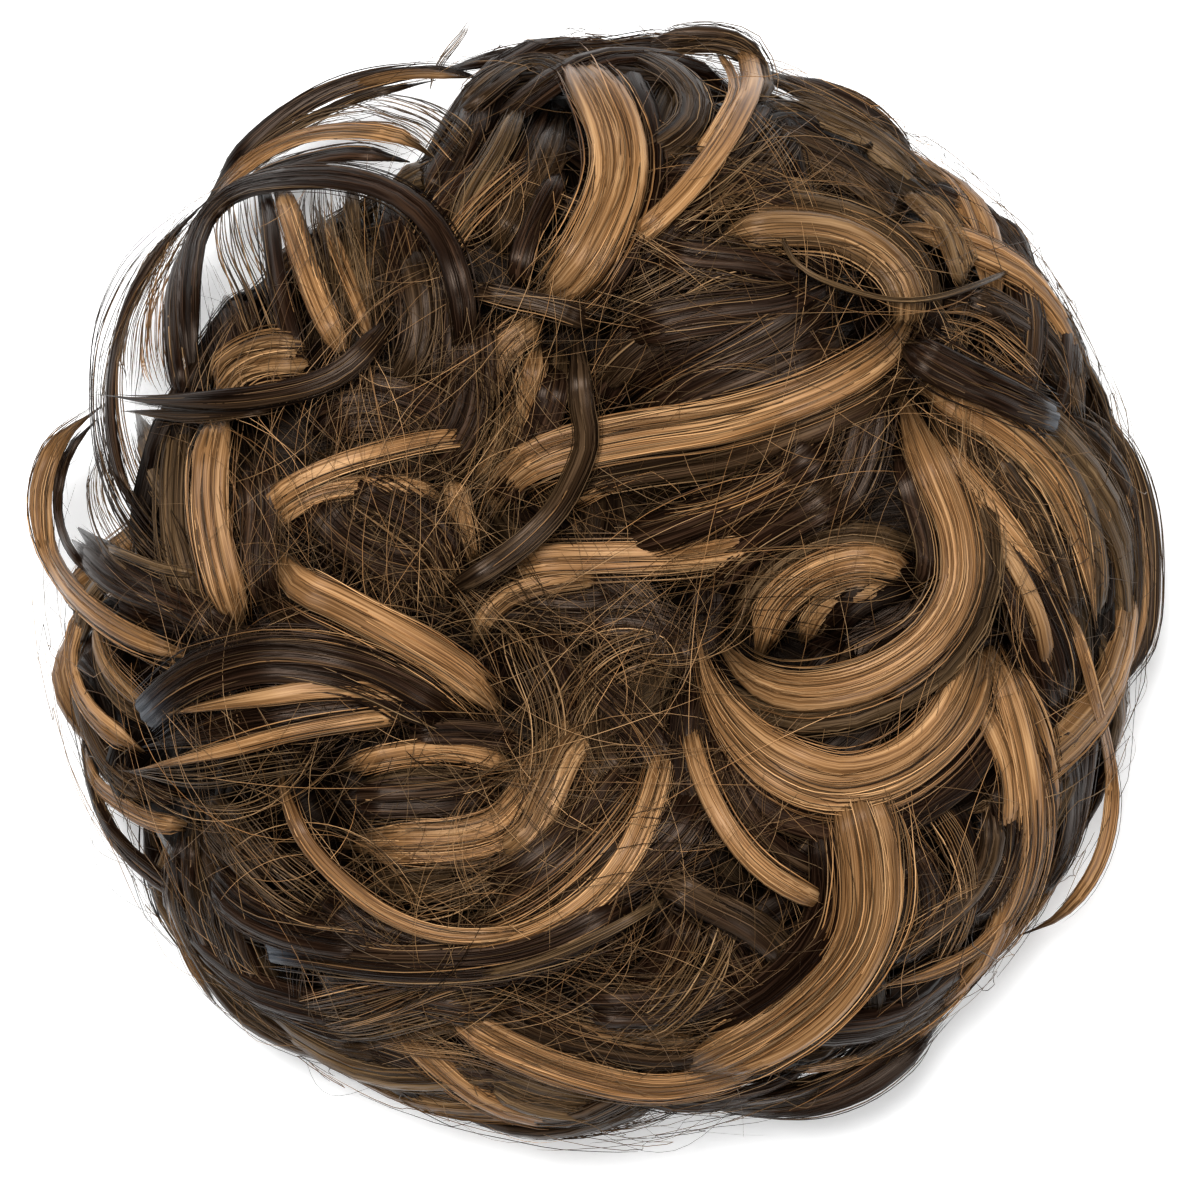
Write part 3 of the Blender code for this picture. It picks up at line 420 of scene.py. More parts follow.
# Colours of the hair, by the value of its streaks, and how broad and long the streaks are, in metres
BROWN_STREAKS = (
    (0.38, (0.0028, 0.0011, 0.0005)), (0.51, (0.0115, 0.0050, 0.0026)), (0.64, (0.0520, 0.0265, 0.0145)),
)
KHAKI_STREAKS = (
    (0.38, (0.020, 0.0105, 0.0045)), (0.50, (0.088, 0.051, 0.0225)), (0.62, (0.210, 0.132, 0.066)),
)
CARAMEL_STREAKS = (
    (0.38, (0.090, 0.038, 0.012)), (0.50, (0.290, 0.143, 0.054)), (0.62, (0.500, 0.285, 0.130)),
)
CUT_GREY = (0.060, 0.075, 0.095, 1.0)
FINE_STREAK = (0.15 * MM, 12 * MM)
MEDIUM_STREAK = (0.40 * MM, 26 * MM)
BROAD_STREAK = (1.5 * MM, 30 * MM)
HAIR_GLOSS = 0.16
DEEP_GLOSS = 0.05  # of the hair that lies low
HAIR_TINT = (1.0, 0.76, 0.60, 1.0)  # of its highlights
THREAD_DARK, THREAD_LIGHT = (0.006, 0.006, 0.006, 1.0), (0.030, 0.028, 0.028, 1.0)

# Lights: place, diameter in metres and power in watts
KEY_LIGHT = ((-0.18, 0.30, 1.40), 0.60, 36.0)
FILL_LIGHT = ((0.70, -0.35, 1.10), 0.60, 8.0)
WORLD_LIGHT = 0.05
WHITE = (1.0, 1.0, 1.0, 1.0)
FLOOR_COLOUR = (0.92, 0.92, 0.92, 1.0)
FLOOR_GLOW = 0.22
FLOOR_HALF_SIDE = 3.0


def smoothstep(t):
    t = np.clip(t, 0.0, 1.0)
    return t * t * (3 - 2 * t)


def surface_tables():
    """Height and slope of the hair's surface over a fine row of reaches, rounded off at its corners."""
    reach = np.linspace(0.0, 1.2, 241)
    height = np.interp(reach, SURFACE_REACH, SURFACE_HEIGHT) * BUN_HEIGHT
    window = 13
    padded = np.pad(height, window // 2, mode="edge")
    height = np.convolve(padded, np.ones(window) / window, mode="valid")
    return reach, height, np.gradient(height, reach * BUN_RADIUS)


REACH, HEIGHT, SLOPE = surface_tables()


def surface_height(x, y):
    return np.interp(np.hypot(x, y) / BUN_RADIUS, REACH, HEIGHT)


def surface_normals(x, y):
    """Directions that the locks face at places on the surface, softer than the surface's own."""
    radius = np.maximum(np.hypot(x, y), 1e-6)
    slope = np.maximum(np.interp(radius / BUN_RADIUS, REACH, SLOPE), STEEPEST) * TILT
    normals = np.stack([-slope * x / radius, -slope * y / radius, np.ones_like(radius)], axis=-1)
    return normals / np.linalg.norm(normals, axis=-1, keepdims=True)


def body_normals(points):
    """Directions away from the middle of the piece, for locks on its side and underside."""
    offset = points - np.array((0.0, 0.0, BODY_MIDDLE * BUN_HEIGHT))
    offset[..., 2] *= (BUN_RADIUS / (0.6 * BUN_HEIGHT)) ** 2
    return offset / np.linalg.norm(offset, axis=-1, keepdims=True)


def from_photo(pixels, height):
    """X and Y of what the photo shows at these pixels, if it is at this height."""
    scale = PIXEL * (CAMERA_HEIGHT - height) / (CAMERA_HEIGHT - AIM.z)
    x = AIM.x + (pixels[..., 0] - PHOTO_PIXELS / 2) * scale
    y = AIM.y + (PHOTO_PIXELS / 2 - pixels[..., 1]) * scale
    return x, y


def smooth_route(points, count):
    """Count places along a Catmull-Rom curve through the points, evenly spaced."""
    points = np.array(points, float)
    ends = np.vstack([2 * points[0] - points[1], points, 2 * points[-1] - points[-2]])
    fine = []
    for a, b, c, d in zip(ends, ends[1:], ends[2:], ends[3:]):
        for t in np.linspace(0, 1, 16, endpoint=False):
            square, cube = 2 * a - 5 * b + 4 * c - d, 3 * b - a - 3 * c + d
            fine.append(0.5 * (2 * b + (c - a) * t + square * t**2 + cube * t**3))
    fine = np.array([*fine, points[-1]])
    along = np.concatenate([[0], np.cumsum(np.linalg.norm(np.diff(fine, axis=0), axis=1))])
    even = np.linspace(0, along[-1], count)
    return np.stack([np.interp(even, along, column) for column in fine.T], axis=1)


def wander(rng, count, stations, knots):
    """Smooth random curves between -1 and 1, one in each row."""
    values = rng.uniform(-1, 1, (count, knots + 1))
    place = np.linspace(0, knots - 1e-6, stations)
    knot = place.astype(int)
    share = smoothstep(place - knot)
    return values[:, knot] * (1 - share) + values[:, knot + 1] * share


class Tubes:
    """Closed tubes gathered into one mesh, with the tone, shade and grey of each, and a map in metres that
    runs round each tube and along it. The shade is painted light and shade, with a random share for each
    tube."""

    def __init__(self):
        self.points, self.corners, self.sizes, self.maps = [], [], [], []
        self.tones, self.shades, self.greys, self.owns = [], [], [], []
        self.count = 0

    def add(self, rings, tone, shade, grey=None):
        """Rings are (tubes, stations, sides, 3). Tone is one number a tube, and shade, painted light and
        shade, may vary along it.
        """
        tubes, stations, sides, _ = rings.shape
        rings = rings.copy()
        rings[..., 2] = np.maximum(rings[..., 2], FLOOR_CLEARANCE)
        index = self.count + np.arange(tubes * stations * sides).reshape(tubes, stations, sides)
        after = np.roll(index, -1, axis=2)
        quads = np.stack([index[:, :-1], index[:, 1:], after[:, 1:], after[:, :-1]], axis=-1)
        centres = rings.mean(axis=2)
        steps = np.linalg.norm(np.diff(centres, axis=1), axis=2)
        along = np.concatenate([np.zeros((tubes, 1)), np.cumsum(steps, axis=1)], axis=1)
        girth = np.linalg.norm(rings - np.roll(rings, -1, axis=2), axis=3).sum(axis=2).max(axis=1)
        across = np.arange(sides + 1)[None, :] / sides * girth[:, None]
        left, right = across[:, None, :-1], across[:, None, 1:]
        low, high = along[:, :-1, None], along[:, 1:, None]
        pairs = (left, low), (left, high), (right, high), (right, low)
        quad_map = np.stack([np.stack(np.broadcast_arrays(*pair), axis=-1) for pair in pairs], axis=-2)
        caps = np.concatenate([index[:, 0], index[:, -1, ::-1]])
        cap_v = np.concatenate([along[:, 0], along[:, -1]])
        cap_v = np.broadcast_to(cap_v[:, None], (2 * tubes, sides))
        cap_map = np.stack([np.tile(across[:, :-1], (2, 1)), cap_v], axis=-1)
        self.points.append(rings.reshape(-1, 3))
        self.corners += [quads.reshape(-1), caps.reshape(-1)]
        self.sizes += [np.full(quads.size // 4, 4), np.full(2 * tubes, sides)]
        self.maps += [quad_map.reshape(-1, 2), cap_map.reshape(-1, 2)]
        spread = (tubes, stations, sides)
        shade = np.reshape(shade, (len(shade), -1, 1)) if np.ndim(shade) else shade
        tone = np.reshape(tone, (-1, 1, 1))
        self.tones.append(np.broadcast_to(tone, spread).reshape(-1))
        self.shades.append(np.broadcast_to(shade, spread).reshape(-1))
        grey = np.zeros(stations) if grey is None else grey
        self.greys.append(np.broadcast_to(grey[None, :, None], spread).reshape(-1))
        own = (self.count + np.arange(tubes).reshape(-1, 1, 1)) * GOLDEN_SHARE % 1
        self.owns.append(np.broadcast_to(own, spread).reshape(-1))
        self.count += tubes * stations * sides

    def piece(self, name, material, slot, node=None):
        """Makes the mesh and its object, which stands for a CAD node if one is named."""
        mesh = bpy.data.meshes.new(name)
        points = np.concatenate(self.points)
        corners = np.concatenate(self.corners).astype(np.int32)
        sizes = np.concatenate(self.sizes)
        mesh.vertices.add(len(points))
        mesh.vertices.foreach_set("co", points.astype(np.float32).reshape(-1))
        mesh.loops.add(len(corners))
        mesh.loops.foreach_set("vertex_index", corners)
        mesh.polygons.add(len(sizes))
        starts = np.concatenate([[0], np.cumsum(sizes)[:-1]]).astype(np.int32)
        mesh.polygons.foreach_set("loop_start", starts)
        layer = mesh.uv_layers.new(name="strand")
        layer.data.foreach_set("uv", np.concatenate(self.maps).astype(np.float32).reshape(-1))
        for label in ("tone", "shade", "grey", "own"):
            values = np.concatenate(getattr(self, label + "s")).astype(np.float32)
            mesh.attributes.new(label, "FLOAT", "POINT").data.foreach_set("value", values)
        mesh.update()
        mesh.validate()
        mesh.shade_smooth()
        mesh.materials.append(material)
        add_piece(name, mesh, node)


def add_piece(name, mesh, node=None):
    piece = bpy.data.objects.new(name, mesh)
    bpy.context.scene.collection.objects.link(piece)
    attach(piece, "root")
    if node:
        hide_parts(node)


def frames(centres, normals):
    """Unit directions across the route and out of the surface, square to the route, at each station."""
    along = np.gradient(centres, axis=-2)
    along /= np.maximum(np.linalg.norm(along, axis=-1, keepdims=True), 1e-9)
    across = np.cross(along, normals)
    across /= np.maximum(np.linalg.norm(across, axis=-1, keepdims=True), 1e-9)
    return across, np.cross(across, along)


def tube_rings(centres, across, out, half_width, half_depth, sides, relief=None):
    """Rings of tubes round their centres. Half_width and half_depth are (tubes, stations)."""
    angles = 2 * np.pi * np.arange(sides) / sides
    wide = half_width[..., None] * np.cos(angles)
    deep = half_depth[..., None] * np.sin(angles)
    if relief is not None:
        wide, deep = wide * relief, deep * relief
    across, out = across[..., None, :], out[..., None, :]
    return centres[..., None, :] + wide[..., None] * across + deep[..., None] * out


def end_shape(stations, ends):
    """Fullness, tuck and greyness along a lock, for its two ends."""
    t = np.linspace(0, 1, stations)
    fullness, tuck, grey = np.ones(stations), np.zeros(stations), np.zeros(stations)
    for end, distance in zip(ends, (t, 1 - t)):
        if end == "t":
            fullness *= 0.55 + 0.45 * smoothstep(distance / 0.24)
            tuck += TUCK * (1 - smoothstep(distance / 0.20))
        elif end == "p":
            fullness *= 0.10 + 0.90 * smoothstep(distance / 0.45) ** 0.8
        elif end == "f":
            fullness *= 0.45 + 0.55 * smoothstep(distance / 0.30)
            tuck += 0.85 * TUCK * (1 - smoothstep(distance / 0.26))
        else:
            fullness *= 0.70 + 0.30 * smoothstep(distance / 0.25)
            grey += 1 - smoothstep(distance / 0.07)
    return fullness, tuck, grey


def read_along(values, places):
    """Values at places from 0 to 1 along their first axis, for a table of places."""
    spot = places * (len(values) - 1)
    below = np.minimum(spot.astype(int), len(values) - 2)
    share = spot - below
    if values.ndim > 1:
        share = share[..., None]
    return values[below] * (1 - share) + values[below + 1] * share


def add_lock(tubes, rng, centres, normals, width, tone, ends_shape, bundles, strands, light=1.0):
    """A lock along its centres: flat bundles side by side, which drift over each other, and strands on top.
    Ends_shape is what end_shape gives. Light scales the lock's painted light and shade."""
    fullness, buried, grey = ends_shape
    stations = len(centres)
    across, out = frames(centres, normals)
    depth = float(np.clip(width * LOCK_DEPTH, THINNEST_LOCK, THICKEST_LOCK))
    t = np.linspace(0, 1, stations)
    # Painted shade and highlight: darker towards ends that tuck under other locks, brightest at the lock's
    # middle
    lit = light * (1 - 0.85 * np.clip(buried / TUCK, 0, 1)) * (0.5 + 0.5 * np.sin(np.pi * t) ** 0.6)
    nearest = np.minimum(np.where(grey[0] > 0, 1.0, t), np.where(grey[-1] > 0, 1.0, 1 - t))
    core = fullness * (END_CORE + (1 - END_CORE) * smoothstep(nearest / 0.16))

    spots = (np.arange(bundles) + 0.5) / max(bundles, 1) * 2 - 1
    drift = wander(rng, bundles, stations, 3)
    place = (spots[:, None] * (1 - 0.45 / max(bundles, 1)) + drift * 0.30 / max(bundles, 1)) * 0.80
    rise = -0.35 * place**2 + wander(rng, bundles, stations, 3) * 0.14
    offset = (place * width / 2 * core)[..., None] * across + (rise * depth * core)[..., None] * out
    relief = 1 + 0.12 * np.stack([wander(rng, bundles, stations, 3) for _ in range(BUNDLE_SIDES)], axis=2)
    half_width = width / 2 * core * (0.88 / max(bundles, 1) + 0.04)
    half_width = half_width * (1 + 0.2 * wander(rng, bundles, stations, 2))
    half_depth = depth / 2 * core * (0.76 + 0.15 * wander(rng, bundles, stations, 2))
    rings = tube_rings(centres + offset, across, out, half_width, half_depth, BUNDLE_SIDES, relief)
    # Painted shade: the bundles are darker than the strands over them, as shade between the strands
    shade = rng.uniform(0.40, 0.65, (bundles, 1)) * lit
    if bundles:
        tubes.add(rings, tone + rng.uniform(-0.10, 0.02, bundles), shade, grey)

    begin = rng.uniform(0.0, 0.20, (strands, 1)) * (grey[0] == 0)
    finish = 1 - rng.uniform(0.0, 0.20, (strands, 1)) * (grey[-1] == 0)
    places = begin + (finish - begin) * t
    start = (np.arange(strands)[:, None] + rng.uniform(0.0, 1.0, (strands, 1))) / strands * 2 - 1
    place = np.clip(start * 1.05 + 0.15 * wander(rng, strands, stations, 3), -1.2, 1.2)
    arch = np.sqrt(np.clip(1 - place**2, 0.0, 1.0))
    escape = np.maximum(rng.normal(0, 0.5, (strands, 1)), 0) * smoothstep((places - 0.72) / 0.28)
    escape = escape + np.maximum(rng.normal(0, 0.5, (strands, 1)), 0) * smoothstep((0.28 - places) / 0.28)
    loose = np.maximum(rng.normal(-0.35, 0.5, (strands, 1)), 0) * (1 + wander(rng, strands, stations, 3)) / 2
    full = read_along(fullness, places)
    sideways = place * (1 + 0.8 * escape + 0.25 * loose) * width / 2 * full
    raised = rng.uniform(0.70, 0.98, (strands, 1))
    outwards = (arch * (raised + 0.5 * escape) - 0.12) * depth / 2 * full + loose * 0.8 * MM
    own_across, own_out = read_along(across, places), read_along(out, places)
    middles = read_along(centres, places) + sideways[..., None] * own_across + outwards[..., None] * own_out
    thin = 0.15 + 0.85 * np.sin(np.pi * t) ** 0.4
    half_width = rng.uniform(0.06, 0.13, (strands, 1)) * MM * thin
    rings = tube_rings(middles, own_across, own_out, half_width, half_width * 0.6, 3)
    contrast = rng.random(strands) < CONTRAST_SHARE
    mixed = np.where(contrast, rng.uniform(0.15, 0.8, strands), tone) + rng.uniform(-0.10, 0.04, strands)
    # A random tone for each strand, times the lock's painted light and shade along it
    shade = rng.uniform(0.25, 1.0, (strands, 1)) * read_along(lit, places)
    tubes.add(rings, mixed, shade, grey)


def lay_on_surface(pixels, lift):
    """Places on the hair's surface, lifted off it, that the photo shows at these pixels."""
    height = np.full(len(pixels), 0.8 * BUN_HEIGHT)
    for _ in range(4):
        x, y = from_photo(pixels, height)
        height = surface_height(x, y) + lift
    return np.stack([x, y, height], axis=1)


def photo_lock(tubes, rng, lock):
    """A lock whose route is read from the photo."""
    length = np.linalg.norm(np.diff(np.array(lock.route, float), axis=0), axis=1).sum()
    stations = int(np.clip(length / 17, 12, 28))
    shape = end_shape(stations, lock.ends)
    lift = lock.lift * MM - shape[1] + wander(rng, 1, stations, 3)[0] * 0.5 * MM
    centres = lay_on_surface(smooth_route(lock.route, stations), lift)
    normals = surface_normals(centres[:, 0], centres[:, 1])
    width = lock.width * PIXEL * WIDER
    loose = lock.ends.endswith("l")
    bundles = 0 if loose else int(np.clip(round(width / BUNDLE_WIDTH), 1, 3))
    strands = int(np.clip(lock.width * (0.55 if loose else 0.74), 7, 42))
    add_lock(tubes, rng, centres, normals, width, lock.tone, shape, bundles, strands)


def companion(tubes, rng, lock):
    """A dark lock that runs beside a light one of the photo, and lower."""
    stations = 14
    pixels = smooth_route(lock.route, stations)
    along = np.gradient(pixels, axis=0)
    along /= np.linalg.norm(along, axis=1, keepdims=True)
    shift = rng.choice((-1, 1)) * (0.35 * lock.width + rng.uniform(10, 22))
    pixels = pixels + np.stack([along[:, 1], -along[:, 0]], axis=1) * shift
    pixels = pixels + 6 * np.stack([wander(rng, 1, stations, 2)[0], wander(rng, 1, stations, 2)[0]], axis=1)
    shape = end_shape(stations, "ff")
    centres = lay_on_surface(pixels, (lock.lift - 1.8) * MM - shape[1])
    x, y = keep_window(*keep_inside(centres[:, 0], centres[:, 1], COMPANION_REACH))
    centres[:, 0], centres[:, 1] = x, y
    width = float(np.clip(lock.width * PIXEL * rng.uniform(0.8, 1.1), 3.0 * MM, 7.5 * MM))
    tone = rng.choice(COMPANION_TONES)
    add_lock(tubes, rng, centres, surface_normals(x, y), width, tone, shape, 2, 12)


def keep_inside(x, y, most):
    """Pulls places in to a reach."""
    radius = np.hypot(x, y) / BUN_RADIUS
    scale = np.minimum(1.0, most / np.maximum(radius, 1e-6))
    return x * scale, y * scale


def keep_window(x, y, most=WINDOW_REACH):
    """Pulls places in, where the photo shows the table between the outer locks."""
    bearing = np.degrees(np.arctan2(y, x))
    inside = smoothstep((bearing - WINDOW[0] + 6) / 6) * smoothstep((WINDOW[1] + 6 - bearing) / 6)
    radius = np.hypot(x, y) / BUN_RADIUS
    scale = np.where(radius > most, 1 + inside * (most / np.maximum(radius, 1e-6) - 1), 1.0)
    return x * scale, y * scale


def under_lock(tubes, rng, samples):
    """A lock below those of the photo, which runs roughly as they do near it."""
    stations = 10
    px, py, heading = samples[rng.integers(len(samples))]
    pixels = np.array([[px + rng.normal(0, 45), py + rng.normal(0, 45)]])
    heading += rng.normal(0, 0.45)
    turn = rng.choice((-1, 1)) * rng.uniform(0.3, 1.8)
    length = rng.uniform(20, 44) * MM
    t = np.linspace(-0.5, 0.5, stations)
    x, y = from_photo(pixels, np.array([0.8 * BUN_HEIGHT]))
    x = x + np.cumsum(np.cos(heading + turn * t)) * length / stations
    y = y + np.cumsum(np.sin(heading + turn * t)) * length / stations
    x, y = keep_window(*keep_inside(x, y, UNDER_REACH))
    shape = end_shape(stations, "ff")
    depth = rng.uniform(1.0, 3.4)
    height = surface_height(x, y) - depth * MM - 0.5 * shape[1]
    centres = np.stack([x, y, height], axis=1)
    tone = rng.choice(UNDER_TONES)
    width = rng.uniform(4.0, 7.5) * MM
    # Painted shade: the deeper an under lock lies, the darker its colour is made
    light = 0.62 - 0.17 * depth
    add_lock(tubes, rng, centres, surface_normals(x, y), width, tone, shape, 2, 9, light)


def side_lock(tubes, rng, bearing, start, top, tone):
    """A lock that curls out from under the piece, up its side and over onto the crown."""
    stations = 13
    lean = rng.uniform(14, 40) * rng.choice((-1, 1, 1))
    start += rng.uniform(-0.03, 0.03)
    top += rng.uniform(-0.08, 0.04)
    points = []
    stops = ((0, 0.0, 0.16), (0.2, 0.15, 0.03), (0.6, 0.55, 0.0), (1.0, 0.9, 0.02), (1.2, 1.0, 0.06))
    for turn, rise, inset in stops:
        angle = math.radians(bearing + lean * turn)
        height = start + (top - start) * rise
        radius = (np.interp(height, SIDE_HEIGHT, SIDE_REACH) - inset) * BUN_RADIUS
        x, y = keep_window(np.array(radius * math.cos(angle)), np.array(radius * math.sin(angle)))
        points.append((float(x), float(y), height * BUN_HEIGHT))
    centres = smooth_route(points, stations)
    shape = end_shape(stations, "ff")
    width = rng.uniform(4.5, 8.5) * MM
    add_lock(tubes, rng, centres, body_normals(centres), width, tone, shape, 2, 12)


def underside_lock(tubes, rng, bearing):
    """A lock sewn to the elastic, which runs out along the underside."""
    stations = 14
    lean = rng.uniform(-26, 26)
    points = []
    stops = ((0, 0.335, 4.0), (0.2, 0.42, 1.6), (0.6, 0.60, 1.5), (1.0, 0.80, 3.2), (1.1, 0.90, 9.0))
    for turn, reach, height in stops:
        angle = math.radians(bearing + lean * turn)
        radius = reach * BUN_RADIUS
        x, y = keep_window(np.array(radius * math.cos(angle)), np.array(radius * math.sin(angle)))
        points.append((float(x), float(y), height * MM))
    centres = smooth_route(points, stations)
    shape = end_shape(stations, "ff")
    down = np.broadcast_to((0.0, 0.0, -1.0), centres.shape)
    tone = rng.choice((DARK, BROWN, DARK, CARAMEL))
    add_lock(tubes, rng, centres, down, rng.uniform(4.5, 7.0) * MM, tone, shape, 1, 8)


def add_hairs(tubes, rng, centres, normals, tone, shade, thickness=SIDE_THICKNESS):
    """Single hairs along rows of centres, (hairs, stations, 3)."""
    count, stations, _ = centres.shape
    across, out = frames(centres, normals)
    t = np.linspace(0, 1, stations)
    radius = rng.uniform(0.75, 1.25, (count, 1)) * thickness * MM * (1 - 0.55 * np.abs(2 * t - 1) ** 3)
    tubes.add(tube_rings(centres, across, out, radius, radius, 3), tone, shade)


def flow_samples():
    """Places along every lock of the photo, in pixels, with the lock's heading there."""
    samples = []
    for lock in CARAMEL_LOCKS + EXTRA_LOCKS + BROWN_LOCKS:
        pixels = smooth_route(lock.route, 20)
        along = np.gradient(pixels, axis=0)
        samples.append(np.column_stack([pixels, np.arctan2(-along[:, 1], along[:, 0])]))
    return np.concatenate(samples)


def loose_hairs(tubes, rng, hairs):
    """Hairs that curl over the locks. A share of them follows the locks, and the rest lies any way, thickest
    in the patches. They may come in groups that lie side by side."""
    count, low, high, tone, thickness, follow, group = hairs
    stations = 13
    tries = 2 * count // group
    weights = np.array([patch.weight for patch in PATCHES], float)
    table = np.array(PATCHES, float)[rng.choice(len(PATCHES), tries, p=weights / weights.sum())]
    samples = flow_samples()
    samples = samples[rng.integers(len(samples), size=tries)]
    follows = rng.random(tries) < follow
    scattered = table[:, :2] + rng.normal(0, 1, (tries, 2)) * table[:, 2:3]
    pixels = np.where(follows[:, None], samples[:, :2] + rng.normal(0, 24, (tries, 2)), scattered)
    heading = np.where(follows, samples[:, 2] + rng.normal(0, 0.4, tries), rng.uniform(0, 2 * np.pi, tries))
    x0, y0 = from_photo(pixels, np.full(tries, 0.85 * BUN_HEIGHT))
    t = np.linspace(0, 1, stations)
    turn = rng.choice((-1, 1), (tries, 1)) * rng.uniform(0.2, 2.2, (tries, 1))
    length = rng.uniform(16, 58, (tries, 1)) * MM
    tries *= group
    x0, y0, heading, turn, length = (np.repeat(v, group, axis=0) for v in (x0, y0, heading, turn, length))
    if group > 1:
        x0, y0 = x0 + rng.normal(0, 0.55 * MM, tries), y0 + rng.normal(0, 0.55 * MM, tries)
        heading = heading + rng.normal(0, 0.10, tries)
        turn, length = turn + rng.normal(0, 0.15, (tries, 1)), length * rng.uniform(0.85, 1.1, (tries, 1))
    heading = heading[:, None] + turn * (t - 0.5) + 0.20 * wander(rng, tries, stations, 1)
    x = x0[:, None] + np.cumsum(np.cos(heading), axis=1) * length / stations
    y = y0[:, None] + np.cumsum(np.sin(heading), axis=1) * length / stations
    lift = np.repeat(rng.uniform(low, high, (tries // group, 1)), group, axis=0)
    lift = lift + rng.uniform(0, 2.2, (tries, 1)) * np.sin(np.pi * t) + 0.3 * wander(rng, tries, stations, 1)
    reach = np.hypot(x, y) / BUN_RADIUS
    bearing = np.degrees(np.arctan2(y, x))
    in_window = ((bearing > WINDOW[0]) & (bearing < WINDOW[1]) & (reach > 0.80)).any(axis=1)
    chance = np.repeat(rng.random(tries // group), group)
    kept = (reach.max(axis=1) < np.where(chance < 0.05, 1.05, 0.975)) & (~in_window | (chance > 0.80))
    kept = np.flatnonzero(kept)[:count]
    x, y, lift = x[kept], y[kept], lift[kept]
    centres = np.stack([x, y, surface_height(x, y) + lift * MM], axis=2)
    tones = np.clip(rng.normal(*tone, len(kept)), 0.0, 1.0)
    # Painted shade: hairs that lie lower are made darker, times a random tone for each hair
    shade = rng.uniform(0.35, 1.2, (len(kept), 1)) * np.clip((lift + 1.6) / 4.4, 0.04, 1.0)
    add_hairs(tubes, rng, centres, surface_normals(x, y), tones, shade, thickness)


def side_hairs(tubes, rng, count):
    """Hairs that curl over the side of the piece."""
    stations = 12
    t = np.linspace(0, 1, stations)
    bearing = rng.uniform(0, 2 * np.pi, (count, 1)) + rng.uniform(-0.5, 0.5, (count, 1)) * t
    bearing = bearing + 0.08 * wander(rng, count, stations, 3)
    height = rng.uniform(0.06, 0.60, (count, 1)) + rng.uniform(-0.15, 0.35, (count, 1)) * t
    height = np.clip(height + 0.05 * wander(rng, count, stations, 3), 0.03, 0.85) * BUN_HEIGHT
    radius = np.interp(height / BUN_HEIGHT, SIDE_HEIGHT, SIDE_REACH) * BUN_RADIUS
    radius = radius + rng.uniform(-1.5, 2.5, (count, 1)) * MM
    radius = radius + 0.8 * MM * wander(rng, count, stations, 3)
    degrees = np.degrees(bearing) % 360
    clear = ((degrees < WINDOW[0]) | (degrees > WINDOW[1])).all(axis=1)
    centres = np.stack([radius * np.cos(bearing), radius * np.sin(bearing), height], axis=2)[clear]
    tone = np.clip(rng.normal(*OUTER_TONE, len(centres)), 0.0, 1.0)
    add_hairs(tubes, rng, centres, body_normals(centres), tone, rng.uniform(0.2, 1.0, len(centres)))


def halo_hairs(tubes, rng, count):
    """Fine hairs that stand a little proud of the outline."""
    stations = 12
    t = np.linspace(0, 1, stations)
    bearing = rng.uniform(0, 2 * np.pi, (count, 1)) + rng.uniform(0.08, 0.35, (count, 1)) * (t - 0.5)
    proud = rng.uniform(0.2, 4.4, (count, 1)) * np.sin(np.pi * t) ** 1.3 - 2.0
    radius = 0.985 * BUN_RADIUS + proud * MM
    height = rng.uniform(0.20, 0.62, (count, 1)) + 0.10 * wander(rng, count, stations, 2)
    centres = np.stack([radius * np.cos(bearing), radius * np.sin(bearing), height * BUN_HEIGHT], axis=2)
    tone = np.clip(rng.normal(*OUTER_TONE, count), 0.0, 1.0)
    add_hairs(tubes, rng, centres, body_normals(centres), tone, rng.uniform(0.3, 1.0, count), HALO_THICKNESS)


